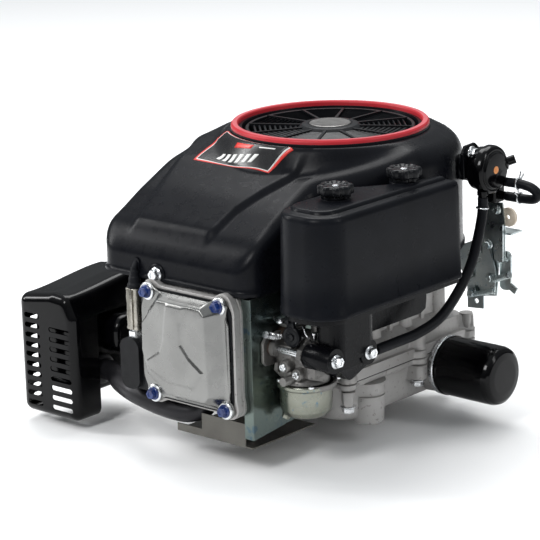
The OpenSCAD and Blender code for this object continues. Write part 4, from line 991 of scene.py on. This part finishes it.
def build_filter():
    can = Piece()
    can.turned([(20, 126.4), (35.0, 126.4), (36.0, 127.4), (36.0, 130.0), (35.2, 130.8), (35.5, 186),
                (35.2, 196), (33.4, 201.5), (29.0, 204.6), (21.0, 205.8), (0.5, 206.0)],
               (0, FILTER_Y, FILTER_Z), RIGHT, 96, 0, 1.2)
    can.object("filter_can_body", "filter_can_body", "filter_can", ["gloss"], ["oil_filter"], angle=45)
    base = Piece()
    base.turned([(0.5, 117), (31, 117), (34.6, 119), (35.8, 121), (35.8, 124.4), (34.6, 125.8),
                 (0.5, 125.8)], (0, FILTER_Y, FILTER_Z), RIGHT, 72, 0, 0.6)
    base.object("filter_seat_ring", "block", "steel_bright", ["bolt"])


def build_pump():
    pump = Piece()
    y, z = 70, 280
    pump.turned([(0.5, 150), (17, 150), (17, 161), (23, 162), (25, 164), (26.5, 174), (28.6, 175),
                 (28.6, 181), (27.4, 184.6), (24.6, 186.4), (22, 186.2), (20.6, 188.8), (0.5, 189.6)],
                (0, y, z), RIGHT, 72, 0, 0.8)
    pump.turned([(0.5, 0), (5.4, 0), (5.4, 4), (4.2, 4.4), (4.2, 12)], (184, 92, 262), RIGHT, 24, 0, 0.3)
    pump.turned([(0.5, 0), (6.6, 0), (6.6, 5), (4.6, 5.4), (4.6, 14)], (180, 55, 258), DOWN, 24, 0, 0.3)
    pump.prism([(150, 86), (152, 84), (174, 84), (176, 86), (176, 102), (174, 104), (152, 104), (150, 102)],
               236, 262, edge=1.0)
    pump.turned(rod(5.0, 0, 6), (176, 100, 243), RIGHT, 24, 0, 0.5)
    pump.turned([(0.5, 0), (9, 0), (9, 3), (5.2, 5), (5.2, 14), (0.5, 14)], (182, 93, 284), (0.7, 0.6, 0.3),
                24, 0, 0.5)
    pump.turned([(0.5, 0), (4.4, 0), (4.4, 1.0), (0.5, 1.2)], (188.8, 68, 281), RIGHT, 24, 1, 0.2)
    pump.object("pump_housing", "block", "pump_black", ["gloss", "orange"], ["fuel_pump"], angle=40)
    strap = Piece()
    strap.prism([(44, 270), (42, 300), (48, 309), (66, 310), (76, 302), (84, 296), (84, 270)], 157, 162,
                ORIGIN, FACING_SIDE, edge=1.0)
    strap.flange_bolt((162, 58, 300), RIGHT, 6.0, 7.0, 1, 1)
    strap.object("pump_strap", "block", "pump_black", ["elbow", "bolt"])


# ---------- castings ----------

# Bolts of the sump flange, and the bosses that the engine is mounted by.
CASE_BOLTS = ((115, 14), (112, -112), (10, -118), (-112, -112), (-115, -14), (-112, 112), (-10, 118),
              (112, 112))
MOUNTS = [(127 * math.cos(math.radians(a)), 127 * math.sin(math.radians(a))) for a in (-33, 57, 147, 237)]


def with_bosses(shape, x, y, places, radius, blend):
    for px, py in places:
        shape = blend_min(shape, np.hypot(x - px, y - py) - radius, blend)
    return shape


def sump_field(x, y, z):
    """Plan of the sump at a height: a box with draft, full-height mounting bosses and short bolt bosses."""
    draft = np.interp(z, [4, 50], [5.0, 1.5])
    shape = box_field(x, y, -109 + draft, 109 - draft, -113 + draft, 113 - draft, 30.0)
    shape = with_bosses(shape, x, y, [(px * 0.965, py * 0.965) for px, py in MOUNTS], 22.5 - draft * 0.5,
                        9.0)
    return with_bosses(shape, x, y, CASE_BOLTS,
                       float(np.interp(z, [29, 30.5, 33, 50], [-14, 9.6, 10.2, 10.8])), 7.0)


def flange_field(x, y, z):
    """Plan of the joint flange. Like every plan of a casting it takes a height, and it is the same at all."""
    shape = box_field(x, y, -117.0, 117.0, -121.0, 121.0, 26.0)
    return with_bosses(shape, x, y, CASE_BOLTS, 10.8, 5.0)


def skirt_field(x, y, z):
    """Plan of the crankcase just above its flange."""
    pull = float(np.interp(z, [70, 86, 96], [0, 1.5, 15]))
    shape = box_field(x, y, -112 + pull, 112 - pull, -101 + pull * 0.6, 112 - pull, 22.0)
    bosses = float(np.interp(z, [70, 86, 91, 94], [9.6, 9.0, 6.0, -12]))
    return with_bosses(shape, x, y, CASE_BOLTS, bosses, 7.0)


def sump_cavity(x, y, z):
    return box_field(x, y, -99.0, 99.0, -103.0, 103.0, 13.0)


def case_cavity(x, y, z):
    shrink = float(np.interp(z, [88, 96], [0, 8]))
    return box_field(x, y, -101.0 + shrink, 101.0 - shrink, -89.0, 102.0 - shrink, 18.0)


def stack(field, *heights):
    """Levels of a casting: each is a height, or a height and an inset."""
    return [(field, *(level if isinstance(level, tuple) else (level, 0.0))) for level in heights]


def cast_rings(levels, angles):
    """Rings of a casting; a level is a field, a height and an inset."""
    return [contour(lambda x, y: field(x, y, z), inset, z, angles) for field, z, inset in levels]


def build_head_rim():
    """The machined rim of the head that the cover is bolted to."""
    def field(x, z):
        shape = box_field(x, z, -70.6, 70.6, -66.6, 66.6, 16.6)
        for bx, bz in COVER_BOLTS:
            shape = blend_min(shape, np.hypot(x - bx, z - bz) - 12.5, 5.0)
        return shape

    angles = even_angles(field, (0.0, 0.0), 240)
    rim = Piece()
    levels = ((1.0, -254.9), (0.0, -254.2), (0.0, -246.5), (1.6, -245.8), (1.6, -243.4), (0.2, -242.8),
              (0.2, -232), (5.0, -232), (5.0, -254.9))
    rim.loft([contour(field, inset, y, angles, order=UPRIGHT, shift=(0, 0, CYL_Z)) for inset, y in levels],
             loop=True)
    rim.object("head_rim", "block", "painted_head", ["cast"], angle=40)


def build_castings():
    angles = even_angles(lambda x, y: flange_field(x, y, 50), (0.0, 0.0), 520)
    sump = Piece()
    levels = stack(sump_field, (4.0, 9.0), (4.2, 6.5), (5.2, 3.4), (7.0, 1.2), (9.5, 0.2), 14, 22, 28.6,
                   30.2, 31.2, 33, 42, 47, (48.6, -0.8))
    levels += stack(flange_field, (49.4, 3.4), (50.0, 1.4), (51.0, 0.3), 52.0, 56.2, (57.1, 0.9))
    levels += stack(sump_cavity, 57.1, 16.0)
    sump.loft(cast_rings(levels, angles))
    for px, py in MOUNTS:
        sump.turned([(4.8, 24), (4.8, 0.6), (5.6, 0), (17, 0), (18, 1), (19.5, 24), (19.8, 33)],
                    (px, py, 0), sides=48, radius=0.8)
    sump.turned([(14.5, 20), (14.5, 0.4), (15.5, 0), (37, 0), (38, 1), (38, 6), (42, 9)], ORIGIN, sides=72,
                radius=0.8)
    for k in range(8):
        a = math.radians(22.5 + 45 * k)
        across = turned_frame(a)
        sump.prism([(34, -2.5), (92, -2.0), (92, 2.0), (34, 2.5)], 1.0, 6.0, ORIGIN, across, edge=0.8)
    sump.turned([(0.5, 100), (34.6, 100), (34, 112), (33, 120), (33, 125.8), (32.2, 126.4), (0.5, 126.4)],
                (0, FILTER_Y, FILTER_Z), RIGHT, 64, radius=1.0)
    sump.turned([(0.5, 104), (16, 104), (15, 144), (14, 145), (0.5, 145)], (-60, 0, 30), (0, 1, 0), 40,
                radius=0.8)
    sump.object("sump_casting", "block", "cast_aluminium", ["cast"], ["sump"], angle=44)
    skirt = Piece()
    levels = stack(flange_field, (58.1, 0.9), 59.0, 65.4, (66.6, 0.5), (67.4, 1.8), (67.8, 3.6))
    levels += stack(skirt_field, (68.4, -1.6), (70, -0.3), 72, 80, 85, 88, 90, 92, 94, 96)
    levels += stack(case_cavity, 96, 88, 58.1)
    skirt.loft(cast_rings(levels, angles), loop=True)
    for y0, y1, top in ((-74, -66, 150), (-20, -12, 176), (40, 48, 176)):
        skirt.prism([(92, y0), (99.5, y0 + 1.5), (99.5, y1 - 1.5), (92, y1)], 92, top, edge=1.2)
    for y in (-44, 14, 78):
        skirt.turned([(0.5, 92), (10.5, 92), (9.5, 150), (8.5, 156), (5, 158), (0.5, 158.4)], (94, y, 0),
                     sides=32, radius=0.8)
    shell = skirt.object("crankcase_skirt", "block", "cast_aluminium", ["cast"], angle=44)
    bores = Piece()
    bores.turned(rod(47.5, -130, -70), (0, 0, CYL_Z), (0, 1, 0), 96)
    for z in (-24, 24):
        bores.turned(rod(5.5, -130, -70), (-56, 0, CYL_Z + z), (0, 1, 0), 32)
    cut(shell, bores)


def build_carburettor_trim():
    """Screws, springs, the choke disc and the small plates that stand on the carburettor, and a black plate
    under the air cleaner: partly the cleaner's black base, partly painted shade over the gap below it.
    """
    trim = Piece()
    for x in (97, 109):
        trim.turned([(0.5, 0), (3.6, 0), (3.6, 2.0), (2.6, 3.2), (0.5, 3.4)], (x, -197, 147.6), sides=24,
                    radius=0.4)
    trim.turned(rod(2.9, 0, 46), (82, -210, 118.5), (1, 0, -0.04), 24, 0, 0.3)
    trim.turned([(0.5, 0), (5.2, 0), (5.2, 3), (4.4, 4), (0.5, 4)], (86.4, -210, 118.4), RIGHT, 6, 0, 0.4)
    for x, y, z in ((108, -217.6, 102), (122, -212.6, 94)):
        trim.turned([(0.5, 0), (4.6, 0), (4.6, 1.8), (3.8, 2.6), (2.6, 2.6), (2.2, 1.2), (0.5, 1.2)],
                    (x, y, z), FRONT, 28, 0, 0.4)
    for x, z in ((118, 132), (136, 139), (146, 138)):
        trim.turned([(0.5, -6), (1.8, -6), (1.8, 0), (3.4, 0), (3.4, 2.4), (2.6, 3.2), (0.5, 3.2)],
                    (x, -196, z), UP, 20, 0, 0.3)
    trim.spring((92, -204, 130), (92, -224, 138), 3.4, 0.7, 7)
    trim.turned([(0.5, -2), (2.0, -2), (2.0, 22), (4.2, 22), (4.2, 26), (0.5, 26)], (92, -204, 130),
                (0, -0.93, 0.37), 24, 0, 0.3)
    trim.spring((102, -182, 138), (102, -182, 148), 6.6, 0.8, 4)
    trim.tube(smooth_path([(94, -206, 150), (86, -206, 151), (80, -198, 152), (76, -180, 153)], 5), 0.9, 10)
    trim.tube(smooth_path([(128, -206, 150), (134, -208, 142), (137, -202, 132), (136, -196, 122)], 5), 0.9,
              10)
    for x, y in ((92, -160), (136, -160), (92, -204), (136, -204)):
        trim.turned([(0.5, 0), (3.2, 0), (3.2, 2), (2.2, 2.8), (0.5, 2.8)],
                    (114 + (x - 114) * 1.05, -182 + (y + 182) * 1.05, 79.8), sides=20, radius=0.3)
    trim.object("carburettor_screws", "block", "steel_bright", ["bolt"], angle=30)
    cast = Piece()
    cast.prism([(92, -204), (114, -204), (116, -200), (116, -178), (92, -178)], 143.5, 147.6, edge=0.8)
    cast.prism([(-226, 105), (-226, 127), (-221, 132), (-200, 136), (-186, 134), (-186, 102), (-204, 99),
                (-221, 100)], 82.4, 86.6, ORIGIN, FACING_SIDE, edge=1.0)
    for place in ((108, -200.5, 102), (122, -195.5, 94)):
        cast.turned([(0.5, 0), (7.5, 0), (7.5, 14), (6.5, 17), (0.5, 17)], place, FRONT, 32, 0, 0.8)
    cast.turned([(0.5, 79.6), (27, 79.6), (26, 84), (21, 90), (20, 100), (16, 110), (0.5, 112)],
                (111.5, -186, 0), sides=72, radius=2.0)
    cast.prism([(90, -208), (96, -211), (112, -209), (116, -200), (114, -186), (90, -186)], 88, 124,
               edge=1.6)
    cast.prism([(128, -206), (134, -207), (140, -202), (140, -184), (128, -184)], 90, 132, edge=1.6)
    cast.turned([(0.5, 0), (6.4, 0), (5.6, 16), (4.4, 18), (0.5, 18)], (100, -190, 92), (-0.5, -0.86, 0),
                28, 0, 0.6)
    cast.prism([(-214, 104), (-196, 98), (-196, 84), (-204, 84), (-216, 96)], 92, 97, ORIGIN, FACING_SIDE,
               edge=0.8)
    cast.prism([(-222, 128), (-206, 132), (-200, 126), (-204, 112), (-220, 110), (-226, 118)], 132, 139,
               ORIGIN, FACING_SIDE, edge=1.0)
    cast.object("carburettor_lugs", "block", "carb_casting", ["die_cast"], angle=34)
    bowl = Piece()
    bowl.turned([(0.5, 39), (18, 39.4), (25, 42.4), (28.6, 48), (29.6, 60), (29.8, 73.6), (32.2, 74.4),
                 (32.6, 76), (32.4, 79), (31.4, 80), (0.5, 80)], (111.5, -184, 0), sides=96, radius=1.0)
    bowl.flange_bolt((96, -199, 41.5), (-0.25, -0.35, -0.9), 4.8, 6.0)
    bowl.turned([(0.5, 0), (7, 0), (7, 3), (0.5, 3.4)], (111.5, -184, 36.4), UP, 6, 0, 0.5)
    bowl.object("float_bowl_pressing", "block", "bowl_zinc", ["bowl"], ["float_bowl"], angle=34)
    # A black plate under the air cleaner: partly the cleaner's black base, partly painted shade that darkens
    # the gap between the cleaner and the crankcase.
    base_shade_plate = Piece()
    base_shade_plate.prism([(-140, 172), (-140, 128), (-132, 125), (-24, 125), (-14, 129), (-12, 140), (-12, 172)],
                 106, 150, ORIGIN, FACING_SIDE, edge=2.0)
    base_shade_plate.object("cleaner_base_shade_plate", "block", "elbow_black", ["elbow"], angle=34)
    choke = Piece()
    choke.turned([(0.5, 0), (11.5, 0), (12, 0.8), (12, 4.2), (10.8, 5.2), (9.0, 4.2), (4.4, 4.2),
                  (4.2, 6.4), (0.5, 6.6)], (112, -203.5, 135), FRONT, 48, 0, 0.5)
    choke.prism([(107, 140), (104, 153), (108, 158), (114, 157), (117, 146)], 204.5, 208, ORIGIN,
                FACING_FRONT, edge=0.8)
    choke.turned(rod(3, 0, 5), (110, -208, 153), FRONT, 20, 0, 0.4)
    choke.object("choke_disc", "block", "lever_plastic", ["knob"], angle=34)


def build_control_trim():
    """The layers of the speed control: a beige bush, springs, screws and a curved slotted plate."""
    trim = Piece()
    sweep = np.linspace(math.radians(100), math.radians(215), 14)
    arc = [(150 + 30 * math.cos(a), 150 + 30 * math.sin(a)) for a in sweep]
    arc += [(150 + 19 * math.cos(a), 150 + 19 * math.sin(a)) for a in reversed(sweep)]
    trim.prism(arc, -98.2, -96.4, ORIGIN, FACING_FRONT, edge=0.3)
    trim.prism([(150, 118), (166, 122), (168, 150), (160, 176), (150, 180), (146, 150)], -98, -96, ORIGIN,
               FACING_FRONT, edge=0.4)
    trim.prism([(166, 164), (178, 164), (178, 209), (166, 207)], -98.8, -96.0, ORIGIN, FACING_FRONT,
               edge=0.4)
    for x, z in ((158, 182), (160, 142), (170, 226), (134, 121)):
        trim.flange_bolt((x, 96, z), FRONT, 4.6, 5.5)
    trim.spring((166, 94, 141), (188, 94, 150), 3.2, 0.7, 9)
    trim.spring((128, 95, 116), (168, 93, 128), 2.6, 0.6, 16)
    trim.turned([(0.5, 0), (2.2, 0), (2.2, 26), (4.2, 26), (4.2, 30), (0.5, 30)], (162, 94, 139.5),
                (0.92, 0, 0.38), 20, 0, 0.3)
    trim.object("speed_control_parts", "block", "yellow_zinc", ["bracket"], angle=34)
    bush = Piece()
    bush.turned([(3, 0), (11, 0), (11.4, 0.6), (11.4, 3.4), (11, 4), (3, 4)], (181, 106, 217), FRONT, 40, 0,
                0.4, loop=True)
    bush.object("speed_control_bush", "block", "yellow_zinc", ["beige"], angle=34)


# ---------- everything else keeps its CAD shape ----------

# Each node's paint, and the radius that its edges are rounded to.
CAD_FINISH = {
    "crankcase": ("cast", 1.4), "gasket_set": ("screen", 0), "main_bearings": ("steel", 0),
    "cylinder_head": ("head", 1.0), "ignition_coil": ("head", 0.8), "starter_motor": ("gloss", 1.0),
    "starter_pinion": ("steel", 0.3), "spark_plug": ("bolt", 0.3), "intake_insulator": ("brown", 0.4),
    "carburetor_body": ("die_cast", 0.7), "air_cleaner_base": ("elbow", 0.9),
    "side_shield": ("zinc", 0.4), "lower_shroud": ("sheet", 0.4), "left_baffle": ("zinc", 0.3),
    "throttle_shaft": ("bolt", 0.4), "choke_lever": ("knob", 0.6), "filter_element": ("paper", 0.5),
    "control_bracket": ("bracket", 0.3), "control_lever": ("bracket", 0.3), "oil_fill_tube": ("elbow", 0.5),
    "dipstick": ("yellow", 0.6), "crankshaft": ("steel", 0.3), "flywheel": ("fan", 0.5),
    "flywheel_nut": ("bolt", 0.3), "crankpin": ("steel", 0.3), "piston": ("bolt", 0), "wrist_pin": ("steel",
                                                                                                    0.3),
    "connecting_rod": ("bolt", 0.5), "camshaft": ("steel", 0.3), "intake_valve": ("steel", 0),
    "exhaust_valve": ("steel", 0), "valve_springs": ("steel", 0), "intake_rocker": ("steel", 0.3),
    "exhaust_rocker": ("steel", 0.3), "intake_pushrod": ("steel", 0), "exhaust_pushrod": ("steel", 0),
}


def build_bolts():
    """Bolt heads in place of the CAD's plain ones."""
    sump = Piece()
    for x, y in CASE_BOLTS:
        sump.flange_bolt((x, y, 30), DOWN, 7, 8)
        sump.turned(rod(4, 0, 34), (x, y, 30), UP, 20, 0, 0.4)
    sump.object("sump_flange_bolts", "block", "steel_bright", ["bolt"], ["sump_bolts"], angle=28)
    front = Piece()
    front.flange_bolt(FRONT_BOLT, FRONT, 6.6, 7.5)
    front.object("housing_flange_bolt", "block", "steel_bright", ["bolt"], ["housing_bolts"], angle=28)
    exhaust = Piece()
    for x, y in ((-36, -213), (22, -224)):
        exhaust.flange_bolt((x, y, 41), DOWN, 6.5, 8)
    exhaust.object("exhaust_flange_nuts", "block", "steel_bright", ["bolt"], ["exhaust_nuts"], angle=28)
    carb = Piece()
    for y, z in ((-211, 120), (-153, 116)):
        carb.turned(rod(3, 84, 178), (0, y, z), RIGHT, 24, 0, 0.3)
        carb.flange_bolt((178, y, z), RIGHT, 6.2, 7.5)
    for x, y in KNOBS:
        carb.turned([(0.5, 176.5), (3.6, 176.5), (4, 177), (4, 305), (3.2, 306), (0.5, 306)], (x, y, 0),
                    sides=24, radius=0.3)
    carb.object("carburettor_studs", "block", "steel_bright", ["bolt"], ["intake_studs"], angle=28)


for build in (add_camera, add_floor, add_lights, build_housing, build_ring, build_screen, build_label,
              build_cleaner, build_knobs, build_valve_cover, build_muffler, build_plug, build_hoses,
              build_filter, build_pump, build_bolts, build_castings, build_head_rim,
              build_carburettor_trim, build_control_trim):
    build()
for node_name, (paint_name, edge_width) in CAD_FINISH.items():
    finish_cad(node_name, paint_name, edge_width)
